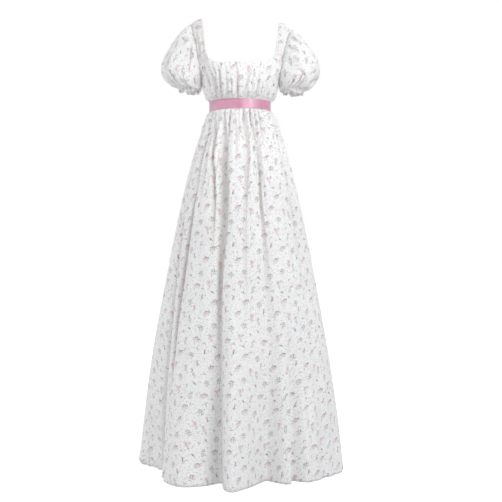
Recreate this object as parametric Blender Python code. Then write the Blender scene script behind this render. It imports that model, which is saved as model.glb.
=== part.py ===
"""Regency gown: an empire-line dress of thin printed cotton with short puff sleeves.

The gown keeps the hollow form that it has when worn. Each piece that is cut and sewn is one
open sheet of cloth, placed by its rings, folds and gathers and made a wall by Solidify.

Frame: +Z up, +X to the viewer's right, and the front faces -Y. The origin lies between the
shoulder straps, where the wearer carries the gown. Right and left are the wearer's own, so
the right strap and sleeve are on the -X side.
"""

from collections import namedtuple

import bmesh
import bpy
import numpy as np

# Driving dimensions, in metres
WALL = 0.0012            # one layer of cotton with its turnings
SEAM = 0.0003            # open gap between two pieces that are sewn together
SIDE_SEAM = 0.0006       # the same between the side edges, whose walls lean toward each other
BACK_SEAM = 0.00045      # the same between a strap and the back, where both walls lean too
WAIST_Z = -0.2805        # the raised waist seam, just under the bust
HEM_Z = -1.4475          # floor length
RIBBON_WIDTH = 0.030
CRUSHED = 0.0008         # height of the gathers that the ribbon presses flat
RIBBON_CLEAR = 0.0006    # the ribbon's flat facets stay this far outside those gathers
SHOULDER_TILT = 0.0065   # the right strap rides this much above the mean, the left below it
STRAP_CROWN = 0.006      # rise of a strap's middle over its two edges
SLEEVE_CLEAR = 0.0004    # a sleeve starts this far outside the edge of its armhole
LEFT_CUFF_DROP = 0.013   # the left cuff hangs lower on its outer side than the right one

# How many of each small form there are
SKIRT_GATHERS = 15       # in the front of the skirt, and as many in its back
FRONT_GATHERS = 16       # in the front of the bodice
BACK_GATHERS = 12        # in the back of the bodice
CAP_GATHERS = 12         # where a sleeve is set into its armhole
CUFF_GATHERS = 12        # at the elastic of a sleeve

# Grid of each sheet
SKIRT_FRONT_COLUMNS = 68
SKIRT_BACK_COLUMNS = 56
SLEEVE_COLUMNS = 48
STRAP_COLUMNS = 3
RIBBON_COLUMNS = 64
SKIRT_HEIGHTS = (HEM_Z, -1.30, -1.14, -0.98, -0.82, -0.67, -0.54, -0.45, -0.385, -0.345, -0.318,
                 -0.304)
BODICE_SHARES = (0.10, 0.28, 0.50, 0.75, 1.0)
SLEEVE_SHARES = (0.0, 0.12, 0.26, 0.42, 0.58, 0.73, 0.85, 0.93, 1.0, 1.10)

RIBBON_TOP = WAIST_Z + RIBBON_WIDTH / 2
RIBBON_FOOT = WAIST_Z - RIBBON_WIDTH / 2

# Half width of the gown and its depth in front of and behind the side seams, by height
Ring = namedtuple("Ring", "z width front back")
RINGS = (
    Ring(HEM_Z, 0.334, 0.312, 0.290),
    Ring(-1.290, 0.317, 0.292, 0.275),
    Ring(-1.090, 0.288, 0.265, 0.252),
    Ring(-0.900, 0.254, 0.235, 0.226),
    Ring(-0.700, 0.214, 0.200, 0.194),
    Ring(-0.546, 0.181, 0.170, 0.166),
    Ring(-0.430, 0.150, 0.142, 0.139),
    Ring(-0.370, 0.130, 0.126, 0.123),
    Ring(-0.332, 0.119, 0.112, 0.109),
    Ring(-0.312, 0.109, 0.103, 0.101),
    Ring(-0.302, 0.104, 0.099, 0.096),
    Ring(RIBBON_FOOT, 0.099, 0.094, 0.0905),
    Ring(RIBBON_TOP, 0.099, 0.094, 0.0905),
    Ring(-0.2555, 0.108, 0.104, 0.092),
    Ring(-0.2335, 0.117, 0.117, 0.094),
    Ring(-0.2085, 0.124, 0.125, 0.097),
    Ring(-0.1905, 0.129, 0.126, 0.099),
    Ring(-0.1565, 0.1454, 0.1185, 0.102),
    Ring(-0.1340, 0.150, 0.108, 0.100),
    Ring(-0.1000, 0.152, 0.090, 0.095),
)

# Folds of the skirt: the angle of each from the centre front at the waist, half way down and
# at the hem, its depth there, and how many degrees it spreads to its left and right. A
# negative depth is a ridge. Angles run from the front toward +X.
Fold = namedtuple("Fold", "waist_at middle_at hem_at waist middle hem left right")
FOLDS = (
    Fold(-66, -62, -74, 0.006, 0.019, 0.076, 20, 21),
    Fold(-44, -35, -28, 0.000, -0.008, -0.034, 9, 6),
    Fold(-24, -17, -13.5, 0.007, 0.020, 0.064, 6.5, 3),
    Fold(-8, -5, -4, 0.000, -0.010, -0.058, 5, 7),
    Fold(11, 6, 5, 0.005, 0.004, 0.000, 4, 4),
    Fold(23, 20, 18.5, 0.008, 0.017, 0.086, 9, 5.5),
    Fold(38, 36, 33.5, 0.003, 0.008, 0.054, 4, 3.5),
    Fold(58, 56, 55, 0.005, 0.008, 0.014, 8, 8),
    Fold(-50, -34, -22, 0.007, 0.004, 0.000, 5, 5),
    Fold(-104, -107, -112, 0.000, -0.009, -0.028, 12, 12),
    Fold(108, 106, 104, 0.006, 0.015, 0.048, 8, 7),
    Fold(130, 128, 124, 0.006, 0.018, 0.055, 6, 8),
    Fold(152, 150, 148, 0.005, 0.016, 0.050, 8, 6),
    Fold(173, 172, 172, 0.007, 0.018, 0.058, 7, 7),
    Fold(-166, -164, -163, 0.006, 0.014, 0.044, 6, 8),
    Fold(-146, -143, -141, 0.006, 0.018, 0.056, 8, 6),
    Fold(-127, -128, -130, 0.006, 0.012, 0.044, 7, 7),
)
FOLD_RELEASE = 0.055     # the folds grow out of the gathers over this length below the ribbon
Course = namedtuple("Course", "share at depth")

# Height of the gathers over the cloth between them, by height on the gown
Gather = namedtuple("Gather", "z height")
SKIRT_FULLNESS = (
    Gather(-0.85, 0.0),
    Gather(-0.60, 0.0018),
    Gather(-0.45, 0.0038),
    Gather(-0.345, 0.0048),
    Gather(-0.318, 0.0042),
    Gather(-0.304, 0.0028),
    Gather(RIBBON_FOOT, CRUSHED),
)
BODICE_FULLNESS = (
    Gather(RIBBON_TOP, CRUSHED),
    Gather(-0.2555, 0.0032),
    Gather(-0.2300, 0.0030),
    Gather(-0.1900, 0.0018),
    Gather(-0.1400, 0.0012),
)

# Upper edges of the bodice, by angle from the centre front or centre back
Edge = namedtuple("Edge", "angle z")
FRONT_NECK = (Edge(0, -0.1525), Edge(20, -0.1520), Edge(33, -0.1475), Edge(43, -0.1340))
BACK_NECK = (Edge(0, -0.1435), Edge(25, -0.1430), Edge(40, -0.1365), Edge(49, -0.1240))
FRONT_NECK_COLUMNS = 18
BACK_NECK_COLUMNS = 12
FRONT_SEAM_COLUMNS = 6
BACK_SEAM_COLUMNS = 3

# Edge of the left armhole, by angle: over the shoulder to the back, the underarm and the front
Hole = namedtuple("Hole", "turn x y z")
ARMHOLE = (
    Hole(0, 0.1610, 0.003, -0.0180),
    Hole(40, 0.1530, 0.034, -0.0575),
    Hole(80, 0.1430, 0.046, -0.1000),
    Hole(120, 0.1360, 0.040, -0.1535),
    Hole(150, 0.1255, 0.024, -0.1905),
    Hole(180, 0.1240, 0.000, -0.2085),
    Hole(210, 0.1255, -0.026, -0.1905),
    Hole(240, 0.1310, -0.052, -0.1565),
    Hole(280, 0.1410, -0.047, -0.0995),
    Hole(320, 0.1515, -0.028, -0.0600),
)
BACK_SEAM_TURN = 120     # the strap is sewn to the back of the bodice here
UNDERARM_TURN = 180
FRONT_SEAM_TURN = 240    # and to the front of the bodice here

# Neck edge of the left strap, by its share of the way from the front seam to the back seam
Neck = namedtuple("Neck", "share x y z")
STRAP_NECK = (
    Neck(0.00, 0.1023, -0.0790, -0.1340),
    Neck(0.12, 0.1100, -0.0730, -0.1160),
    Neck(0.25, 0.1135, -0.0600, -0.0845),
    Neck(0.38, 0.1190, -0.0370, -0.0480),
    Neck(0.50, 0.1235, -0.0020, 0.0000),
    Neck(0.65, 0.1235, 0.0300, -0.0300),
    Neck(0.82, 0.1200, 0.0540, -0.0735),
    Neck(1.00, 0.1137, 0.0648, -0.1240),
)
STRAP_ENDS = 0.15        # a strap leaves the line of its end seams over this share

# Left sleeve: the outer and inner side of each ring and half its depth, by its share of the
# way from the armhole to the elastic. Past 1 is the small frill under the elastic.
Puff = namedtuple("Puff", "share outer_x outer_z inner_x inner_z depth y")
PUFFS = (
    Puff(0.00, 0.161, -0.018, 0.1240, -0.2085, 0.050, 0.002),
    Puff(0.12, 0.173, -0.026, 0.1255, -0.2150, 0.068, 0.002),
    Puff(0.26, 0.197, -0.048, 0.1265, -0.2205, 0.080, 0.002),
    Puff(0.42, 0.227, -0.087, 0.1280, -0.2245, 0.088, 0.001),
    Puff(0.58, 0.249, -0.124, 0.1310, -0.2270, 0.092, 0.000),
    Puff(0.73, 0.257, -0.162, 0.1325, -0.2290, 0.090, 0.000),
    Puff(0.85, 0.2465, -0.193, 0.1335, -0.2285, 0.078, -0.002),
    Puff(0.93, 0.2200, -0.211, 0.1350, -0.2250, 0.062, -0.003),
    Puff(1.00, 0.2020, -0.208, 0.1370, -0.2160, 0.046, -0.004),
    Puff(1.10, 0.2040, -0.229, 0.1360, -0.2375, 0.050, -0.004),
)
SLEEVE_HOLD = 0.30       # a sleeve keeps the line of its armhole over this share
PUFF_FULLNESS = (
    Gather(0.00, 0.0), Gather(0.12, 0.0026), Gather(0.42, 0.0008), Gather(0.73, 0.0012),
    Gather(0.93, 0.0034), Gather(1.00, 0.0016), Gather(1.10, 0.0034),
)

# Creases of the sleeves: share and turn of the middle, depth, and spread in share and turn
Crease = namedtuple("Crease", "share turn depth long wide")
RIGHT_CREASES = (
    Crease(0.34, 285, 0.008, 0.26, 13),
    Crease(0.66, 335, 0.006, 0.24, 12),
    Crease(0.40, 60, 0.007, 0.22, 14),
    Crease(0.62, 118, 0.007, 0.22, 12),
)
LEFT_CREASES = (
    Crease(0.70, 300, 0.010, 0.22, 9),
    Crease(0.30, 262, 0.006, 0.22, 14),
    Crease(0.45, 50, 0.007, 0.24, 13),
    Crease(0.66, 105, 0.007, 0.20, 12),
)


def read(rows, at, column):
    """Read one column of a table at values of its first column, on a smooth curve."""
    keys = np.array([row[0] for row in rows])
    values = np.array([getattr(row, column) for row in rows])
    steps = np.diff(keys)
    rises = np.diff(values) / steps
    slopes = (rises[:-1] * steps[1:] + rises[1:] * steps[:-1]) / (steps[:-1] + steps[1:])
    steepest = 3 * np.minimum(abs(rises[:-1]), abs(rises[1:]))
    slopes = np.where(rises[:-1] * rises[1:] > 0, np.clip(slopes, -steepest, steepest), 0.0)
    slopes = np.concatenate([rises[:1], slopes, rises[-1:]])
    at = np.clip(at, keys[0], keys[-1])
    left = np.clip(np.searchsorted(keys, at, side="right") - 1, 0, len(steps) - 1)
    t = (at - keys[left]) / steps[left]
    bend = t * (1 - t) * steps[left]
    return (values[left] + (values[left + 1] - values[left]) * t * t * (3 - 2 * t)
            + bend * (slopes[left] * (1 - t) - slopes[left + 1] * t))


def ease(low, high, at):
    """Rise smoothly from 0 at one value to 1 at another."""
    t = np.clip((at - low) / (high - low), 0, 1)
    return t * t * (3 - 2 * t)


def gathers(share, count, wander):
    """Rounded ridges at +1 with narrow valleys at -1, unevenly spaced along an edge."""
    phase = count * share + wander * np.sin(2 * np.pi * (3 * share + 0.1))
    return 1 - 2 * (0.5 - 0.5 * np.cos(2 * np.pi * phase)) ** 1.6


def body(turn, z):
    """Place a point on the plain form of the gown, at an angle from the centre front."""
    angle = np.radians(turn)
    depth = np.where(np.cos(angle) > 0, read(RINGS, z, "front"), read(RINGS, z, "back"))
    return read(RINGS, z, "width") * np.sin(angle), -depth * np.cos(angle)


def pushed(x, y, out):
    """Move points away from the gown's upright axis."""
    share = 1 + out / np.hypot(x, y)
    return x * share, y * share


def tilted(x, y, z):
    """Stack coordinates as points, with the shoulders a little out of level."""
    rise = ease(-0.155, -0.03, z) * np.clip(x / 0.12, -1, 1)
    return np.stack(np.broadcast_arrays(x, y, z - SHOULDER_TILT * rise), axis=-1)


def fold_depth(turn, z):
    """Add up how far the folds take the skirt in at each angle and height."""
    length = (RIBBON_FOOT - z) / (RIBBON_FOOT - HEM_Z)
    total = np.zeros(np.broadcast(turn, z).shape)
    for fold in FOLDS:
        course = (Course(0.0, fold.waist_at, fold.waist),
                  Course(0.5, fold.middle_at, fold.middle),
                  Course(1.0, fold.hem_at, fold.hem))
        away = (turn - read(course, length, "at") + 180) % 360 - 180
        spread = np.where(away < 0, fold.left, fold.right)
        total += read(course, length, "depth") * np.exp(-(away / spread) ** 2)
    return total * ease(0, FOLD_RELEASE, RIBBON_FOOT - z)


def skirt_points(middle, columns):
    """Place half of the skirt, whose middle line is at an angle, row by row from the hem."""
    turn = middle + np.linspace(-90, 90, columns + 1)[None, :]
    z = np.array(SKIRT_HEIGHTS + (RIBBON_FOOT, WAIST_Z - SEAM / 2))[:, None]
    side = np.abs(np.cos(np.radians(turn)))
    wave = gathers((turn - middle) / 180 + 0.5, SKIRT_GATHERS, 0.5) * ease(0, 0.2, side)
    x, y = body(turn, z)
    x, y = pushed(x, y, read(SKIRT_FULLNESS, z, "height") * wave - fold_depth(turn, z))
    return tilted(x, y + np.sign(middle - 90) * SIDE_SEAM / 2, z)


def armhole(turn):
    """Read the edge of the left armhole at angles in degrees."""
    before = [row._replace(turn=row.turn - 360) for row in ARMHOLE[-3:]]
    after = [row._replace(turn=row.turn + 360) for row in ARMHOLE[:4]]
    rows = tuple(before) + ARMHOLE + tuple(after)
    turn = np.asarray(turn) % 360
    return np.stack([read(rows, turn, axis) for axis in "xyz"], axis=-1)


def bodice_edge(neck, neck_columns, seam_columns, seam_turn, front):
    """List the upper edge of half a bodice panel, from its middle line to the underarm."""
    facing = 1 if front else -1
    angle = np.linspace(0, neck[-1].angle, neck_columns + 1)
    z = read(neck, angle, "z")
    x, y = body(angle if front else 180 - angle, z)
    neck_line = np.stack([x, y, z], axis=-1)
    corner, end = neck_line[-1], armhole(seam_turn)
    share = np.linspace(0, 1, seam_columns + 1)[1:, None]
    seam_line = corner + (end - corner) * share
    steps = abs(seam_turn - UNDERARM_TURN) * SLEEVE_COLUMNS // 360
    hole_line = armhole(np.linspace(seam_turn, UNDERARM_TURN, steps + 1)[1:])
    edge = np.concatenate([neck_line, seam_line, hole_line])
    width = read(RINGS, edge[:, 2], "width")
    depth = read(RINGS, edge[:, 2], "front" if front else "back")
    turn = np.degrees(np.arctan2(edge[:, 0] / width, -edge[:, 1] / depth * facing))
    turn[-1] = 90
    sewn = np.arange(len(edge)) > neck_columns
    return turn, edge, sewn


def bodice_points(neck, neck_columns, seam_columns, seam_turn, count, front):
    """Place a whole bodice panel, row by row from the waist seam."""
    turn, edge, sewn = bodice_edge(neck, neck_columns, seam_columns, seam_turn, front)
    turn = np.concatenate([-turn[:0:-1], turn])
    edge = np.concatenate([edge[:0:-1] * (-1, 1, 1), edge])
    sewn = np.concatenate([sewn[:0:-1], sewn])
    share = np.array((0.0, 0.0) + BODICE_SHARES)[:, None]
    z = RIBBON_TOP + (edge[:, 2] - RIBBON_TOP) * share
    z[0] = WAIST_Z + SEAM / 2
    around = turn if front else 180 - turn
    x, y = body(around, z)
    edge_x, edge_y = body(around, edge[:, 2])
    x = x + (edge[:, 0] - edge_x) * share ** 2
    y = y + (edge[:, 1] - edge_y) * share ** 2
    side = np.cos(np.radians(turn))
    wave = gathers(turn / 180 + 0.5, count, 0.4) * ease(0, 0.2, side)
    hold = np.where(sewn, 1 - share ** 2, 1 - 0.3 * share ** 3)
    x, y = pushed(x, y, read(BODICE_FULLNESS, z, "height") * wave * hold)
    return tilted(x, y + (-SIDE_SEAM / 2 if front else SIDE_SEAM / 2), z)


def strap_points(side):
    """Place a shoulder strap, row by row from its front seam to its back seam."""
    rows = (360 + BACK_SEAM_TURN - FRONT_SEAM_TURN) * SLEEVE_COLUMNS // 360
    share = np.linspace(0, 1, rows + 1)[:, None, None]
    across = np.linspace(0, 1, STRAP_COLUMNS + 1)[None, :, None]
    turn = FRONT_SEAM_TURN + (360 + BACK_SEAM_TURN - FRONT_SEAM_TURN) * share[:, 0, 0]
    outer = armhole(turn)[:, None, :]
    inner = np.stack([read(STRAP_NECK, share[:, 0, 0], axis) for axis in "xyz"], axis=-1)
    points = inner[:, None, :] + (outer - inner[:, None, :]) * across
    rise = np.stack([np.zeros(rows + 1), -np.cos(np.pi * share[:, 0, 0]),
                     np.sin(np.pi * share[:, 0, 0])], axis=-1)[:, None, :]
    away = np.minimum(share, 1 - share)
    crown = STRAP_CROWN * 4 * across * (1 - across) * ease(0, STRAP_ENDS, away)
    points = points + rise * crown
    points[0] += (0, 0, SEAM)
    points[-1] += (0, 0, BACK_SEAM)
    return tilted(points[..., 0] * side, points[..., 1], points[..., 2])


def sleeve_points(side):
    """Place a puff sleeve and its frill, ring by ring from the armhole."""
    turn = np.linspace(0, 360, SLEEVE_COLUMNS + 1)[None, :]
    share = np.array(SLEEVE_SHARES)[:, None]
    angle = np.radians(turn)
    outer_x, outer_z, inner_x, inner_z, depth, y = (
        read(PUFFS, share, column) for column in Puff._fields[1:])
    if side > 0:
        outer_z = outer_z - LEFT_CUFF_DROP * ease(0.6, 1, share)
    ring = np.stack([(outer_x + inner_x) / 2 + (outer_x - inner_x) / 2 * np.cos(angle),
                     y + depth * np.sin(angle),
                     (outer_z + inner_z) / 2 + (outer_z - inner_z) / 2 * np.cos(angle)], axis=-1)
    hold = np.clip(1 - share / SLEEVE_HOLD, 0, 1)[..., None] ** 2
    points = ring + (armhole(turn[0]) - ring[0]) * hold
    middle = points[:, :-1].mean(axis=1, keepdims=True)
    away = points - middle
    away /= np.linalg.norm(away, axis=-1, keepdims=True)
    upper = ease(-0.5, 0.2, np.cos(angle))
    cap = gathers(turn / 360, CAP_GATHERS, 0.0) * upper
    cuff = gathers(turn / 360, CUFF_GATHERS, 0.0)
    wave = np.where(share < 0.5, cap, cuff)
    out = read(PUFF_FULLNESS, share, "height") * wave
    for crease in (LEFT_CREASES if side > 0 else RIGHT_CREASES):
        off = (turn - crease.turn + 180) % 360 - 180
        out = out - crease.depth * np.exp(-((share - crease.share) / crease.long) ** 2
                                          - (off / crease.wide) ** 2) * ease(0, 0.2, share)
    points = points + away * out[..., None] + (SLEEVE_CLEAR, 0, 0)
    return tilted(points[..., 0] * side, points[..., 1], points[..., 2])


def ribbon_points():
    """Place the ribbon on the pressed gathers, from its foot to its top."""
    turn = np.linspace(0, 360, RIBBON_COLUMNS + 1)[None, :]
    z = np.array((RIBBON_FOOT, RIBBON_TOP))[:, None]
    x, y = pushed(*body(turn, z), CRUSHED + RIBBON_CLEAR + WALL)
    return tilted(x, y, z)


def finish(name, colour, roughness):
    """Make a plain material for one cloth."""
    material = bpy.data.materials.new(name)
    material.use_nodes = True
    shader = material.node_tree.nodes["Principled BSDF"]
    shader.inputs["Base Color"].default_value = (*colour, 1.0)
    shader.inputs["Roughness"].default_value = roughness
    shader.inputs["Metallic"].default_value = 0.0
    material.diffuse_color = (*colour, 1.0)
    return material


def cloth(name, points, material, closed=False, flip=False):
    """Make one wall of cloth from its grid of points, whose rows run up the piece."""
    rows, columns = points.shape[0] - 1, points.shape[1] - 1
    bm = bmesh.new()
    bmesh.ops.create_grid(bm, x_segments=columns, y_segments=rows, size=1.0)
    for vert in bm.verts:
        column = round((vert.co.x + 1) / 2 * columns)
        row = round((vert.co.y + 1) / 2 * rows)
        vert.co = points[row, column]
    if closed:
        bmesh.ops.remove_doubles(bm, verts=bm.verts, dist=1e-5)
    if flip:
        bmesh.ops.reverse_faces(bm, faces=bm.faces)
    mesh = bpy.data.meshes.new(name)
    bm.to_mesh(mesh)
    bm.free()
    mesh.shade_smooth()
    mesh.materials.append(material)
    piece = bpy.data.objects.new(name, mesh)
    bpy.context.scene.collection.objects.link(piece)
    wall = piece.modifiers.new("Wall", "SOLIDIFY")
    wall.thickness = WALL
    wall.offset = -1.0
    return piece


def make_gown():
    """Make every piece of the gown."""
    for old in list(bpy.data.objects):
        bpy.data.objects.remove(old, do_unlink=True)
    cotton = finish("Printed cotton lawn", (0.86, 0.86, 0.88), 0.85)
    satin = finish("Satin ribbon", (0.69, 0.29, 0.45), 0.35)
    cloth("skirt_front", skirt_points(0, SKIRT_FRONT_COLUMNS), cotton)
    cloth("skirt_back", skirt_points(180, SKIRT_BACK_COLUMNS), cotton)
    cloth("bodice_front", bodice_points(FRONT_NECK, FRONT_NECK_COLUMNS, FRONT_SEAM_COLUMNS,
                                        FRONT_SEAM_TURN, FRONT_GATHERS, True), cotton)
    cloth("bodice_back", bodice_points(BACK_NECK, BACK_NECK_COLUMNS, BACK_SEAM_COLUMNS,
                                       BACK_SEAM_TURN, BACK_GATHERS, False), cotton, flip=True)
    for side, word in ((-1, "right"), (1, "left")):
        cloth(f"strap_{word}", strap_points(side), cotton, flip=side < 0)
        cloth(f"sleeve_{word}", sleeve_points(side), cotton, closed=True, flip=side > 0)
    cloth("ribbon", ribbon_points(), satin, closed=True)


make_gown()
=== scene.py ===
# %% [markdown]
# # Regency gown
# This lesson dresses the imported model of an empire-line gown: thin white cotton lawn with a
# small flower print, short puff sleeves, and a pink satin ribbon under the bust. The packed
# solids give the gown its place, its size and its main folds. Here every one of them is
# replaced by a finer sheet of cloth with the print, the gathers, the creases and the sewing.

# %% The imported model
from collections import namedtuple

import bmesh
import bpy
import numpy as np
from mathutils import Matrix, Vector


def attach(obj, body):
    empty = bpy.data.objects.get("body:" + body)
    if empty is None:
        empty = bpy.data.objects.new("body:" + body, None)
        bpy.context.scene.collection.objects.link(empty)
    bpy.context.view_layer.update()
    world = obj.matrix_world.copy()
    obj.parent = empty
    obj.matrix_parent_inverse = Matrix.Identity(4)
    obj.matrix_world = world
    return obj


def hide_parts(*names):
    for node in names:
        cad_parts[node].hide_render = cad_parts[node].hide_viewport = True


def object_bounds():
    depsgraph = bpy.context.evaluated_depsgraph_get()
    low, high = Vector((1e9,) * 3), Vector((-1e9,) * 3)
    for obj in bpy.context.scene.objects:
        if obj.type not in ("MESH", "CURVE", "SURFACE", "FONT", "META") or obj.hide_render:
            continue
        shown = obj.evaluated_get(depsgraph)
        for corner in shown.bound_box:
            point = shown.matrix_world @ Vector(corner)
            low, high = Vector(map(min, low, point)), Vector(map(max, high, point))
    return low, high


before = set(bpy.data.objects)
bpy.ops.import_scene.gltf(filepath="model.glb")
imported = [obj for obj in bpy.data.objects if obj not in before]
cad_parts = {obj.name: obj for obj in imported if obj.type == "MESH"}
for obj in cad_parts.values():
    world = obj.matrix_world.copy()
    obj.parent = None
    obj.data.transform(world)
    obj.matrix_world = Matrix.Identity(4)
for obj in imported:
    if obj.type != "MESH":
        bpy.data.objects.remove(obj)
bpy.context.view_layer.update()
print("packed nodes:", ", ".join(sorted(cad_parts)))

# %% [markdown]
# ## Measures
# The gown could be draped by a cloth simulation, but then its folds would fall where the
# solver likes. The real folds have known places, so they are laid from tables. The
# first tables are those of the solids, so that each sheet keeps the form of its solid. Angles
# run from the centre front toward +X, in degrees. Lengths are in metres, apart from the
# depths of folds and creases, which are easier to read in millimetres.

# %% Driving dimensions
MM = 0.001
WALL = 0.0007            # one layer of lawn, thinner than the solids' wall
WAIST_Z = -0.2805
HEM_Z = -1.4475
RIBBON_WIDTH = 0.030
RIBBON_OUT = 0.0026      # from the bare waist to the outside of the ribbon
CRUSHED = 0.8            # gathers pressed flat by the ribbon, in millimetres
SHOULDER_TILT = 0.0065
STRAP_CROWN = 0.006
SLEEVE_CLEAR = 0.0004
LEFT_CUFF_DROP = 0.013
RIBBON_TOP = WAIST_Z + RIBBON_WIDTH / 2
RIBBON_FOOT = WAIST_Z - RIBBON_WIDTH / 2
SIDES = {"right": -1, "left": 1}
print(f"ribbon from {RIBBON_FOOT:.4f} to {RIBBON_TOP:.4f} m")

# %% Rings of the gown
Ring = namedtuple("Ring", "z width front back")


def table(kind, *rows):
    """Name the values of each row of a table."""
    return tuple(kind(*row) for row in rows)


RINGS = table(
    Ring,
    (HEM_Z, 0.334, 0.312, 0.290), (-1.290, 0.317, 0.292, 0.275), (-1.090, 0.288, 0.265, 0.252),
    (-0.900, 0.254, 0.235, 0.226), (-0.700, 0.214, 0.200, 0.194), (-0.546, 0.181, 0.170, 0.166),
    (-0.430, 0.150, 0.142, 0.139), (-0.370, 0.130, 0.126, 0.123), (-0.332, 0.119, 0.112, 0.109),
    (-0.312, 0.109, 0.103, 0.101), (-0.302, 0.104, 0.099, 0.096),
    (RIBBON_FOOT, 0.099, 0.094, 0.0905), (RIBBON_TOP, 0.099, 0.094, 0.0905),
    (-0.2555, 0.108, 0.104, 0.092), (-0.2335, 0.117, 0.117, 0.094), (-0.2085, 0.124, 0.125, 0.097),
    (-0.1905, 0.129, 0.126, 0.099), (-0.1565, 0.1454, 0.1185, 0.102),
    (-0.1340, 0.150, 0.108, 0.100), (-0.1000, 0.152, 0.090, 0.095),
)
print(f"rings: {len(RINGS)}, from {RINGS[0].z} to {RINGS[-1].z} m")

# %% [markdown]
# ## Reading a table
# A fold or a ring is known at a few heights. A smooth curve that never overshoots fills in
# the heights between them. `ease` starts and ends a form softly, and `gathers` gives rounded
# ridges with narrow valleys, which is how cloth stands when a thread draws it up. Real
# gathers are never even, so `sway` adds a slow, repeatable wander to their spacing and height.

# %% Curves


def read(rows, at, column):
    """Read one column of a table at values of its first column, on a smooth curve."""
    keys = np.array([row[0] for row in rows])
    values = np.array([getattr(row, column) for row in rows])
    steps = np.diff(keys)
    rises = np.diff(values) / steps
    slopes = (rises[:-1] * steps[1:] + rises[1:] * steps[:-1]) / (steps[:-1] + steps[1:])
    steepest = 3 * np.minimum(abs(rises[:-1]), abs(rises[1:]))
    slopes = np.where(rises[:-1] * rises[1:] > 0, np.clip(slopes, -steepest, steepest), 0.0)
    slopes = np.concatenate([rises[:1], slopes, rises[-1:]])
    at = np.clip(at, keys[0], keys[-1])
    left = np.clip(np.searchsorted(keys, at, side="right") - 1, 0, len(steps) - 1)
    t = (at - keys[left]) / steps[left]
    bend = t * (1 - t) * steps[left]
    return (values[left] + (values[left + 1] - values[left]) * t * t * (3 - 2 * t)
            + bend * (slopes[left] * (1 - t) - slopes[left + 1] * t))


def ease(low, high, at):
    """Rise smoothly from 0 at one value to 1 at another."""
    t = np.clip((at - low) / (high - low), 0, 1)
    return t * t * (3 - 2 * t)


def hill(away, spread, power=2):
    """Fall from 1 in the middle to nearly 0 beyond a spread; a high power cuts steep sides."""
    return np.exp(-np.abs(away / spread) ** power)


def between(turn, at):
    """Give the angle from a direction to others, between -180 and 180 degrees."""
    return (turn - at + 180) % 360 - 180


def waves(angle, *terms):
    """Add up sine waves of an angle in degrees, each given by its count, start and height."""
    return sum(height * np.sin(np.radians(count * angle + start)) for count, start, height in terms)


def gathers(share, count, wander, narrow=2.8):
    """Rounded ridges at +1 with narrow valleys at -1, unevenly spaced along an edge."""
    phase = count * share + wander * np.sin(2 * np.pi * (3 * share + 0.1))
    return 1 - 2 * (0.5 - 0.5 * np.cos(2 * np.pi * phase)) ** narrow


def sway(at, start):
    """Wander slowly between about -1 and 1 along a share of an edge."""
    turn, start = 360 * at, 360 * start
    return waves(turn, (2.3, start, 1), (5.1, 2.7 * start, 1), (9.7, 4.1 * start, 0.7)) / 2.4


def body(turn, z):
    """Place a point on the plain form of the gown, at an angle from the centre front."""
    angle = np.radians(turn)
    depth = np.where(np.cos(angle) > 0, read(RINGS, z, "front"), read(RINGS, z, "back"))
    return read(RINGS, z, "width") * np.sin(angle), -depth * np.cos(angle)


def pushed(x, y, out):
    """Move points away from the gown's upright axis."""
    share = 1 + out / np.hypot(x, y)
    return x * share, y * share


def tilted(x, y, z):
    """Stack coordinates as points, with the shoulders a little out of level."""
    rise = ease(-0.155, -0.03, z) * np.clip(x / 0.12, -1, 1)
    return np.stack(np.broadcast_arrays(x, y, z - SHOULDER_TILT * rise), axis=-1)


print("waist ring:", [round(float(v), 3) for v in body(90, WAIST_Z)])

# %% [markdown]
# ## The skirt's folds
# Two panels are cut wide at the hem and gathered into the waist seam under the ribbon. The
# long folds come from the solids' table. Between them lie small folds, short tucks that start
# at the gathers and die out at different heights, and narrow valleys where two folds of cloth
# nearly meet. The more uneven these are in length, depth and spacing, the more the skirt
# looks like hanging cloth.

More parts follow.
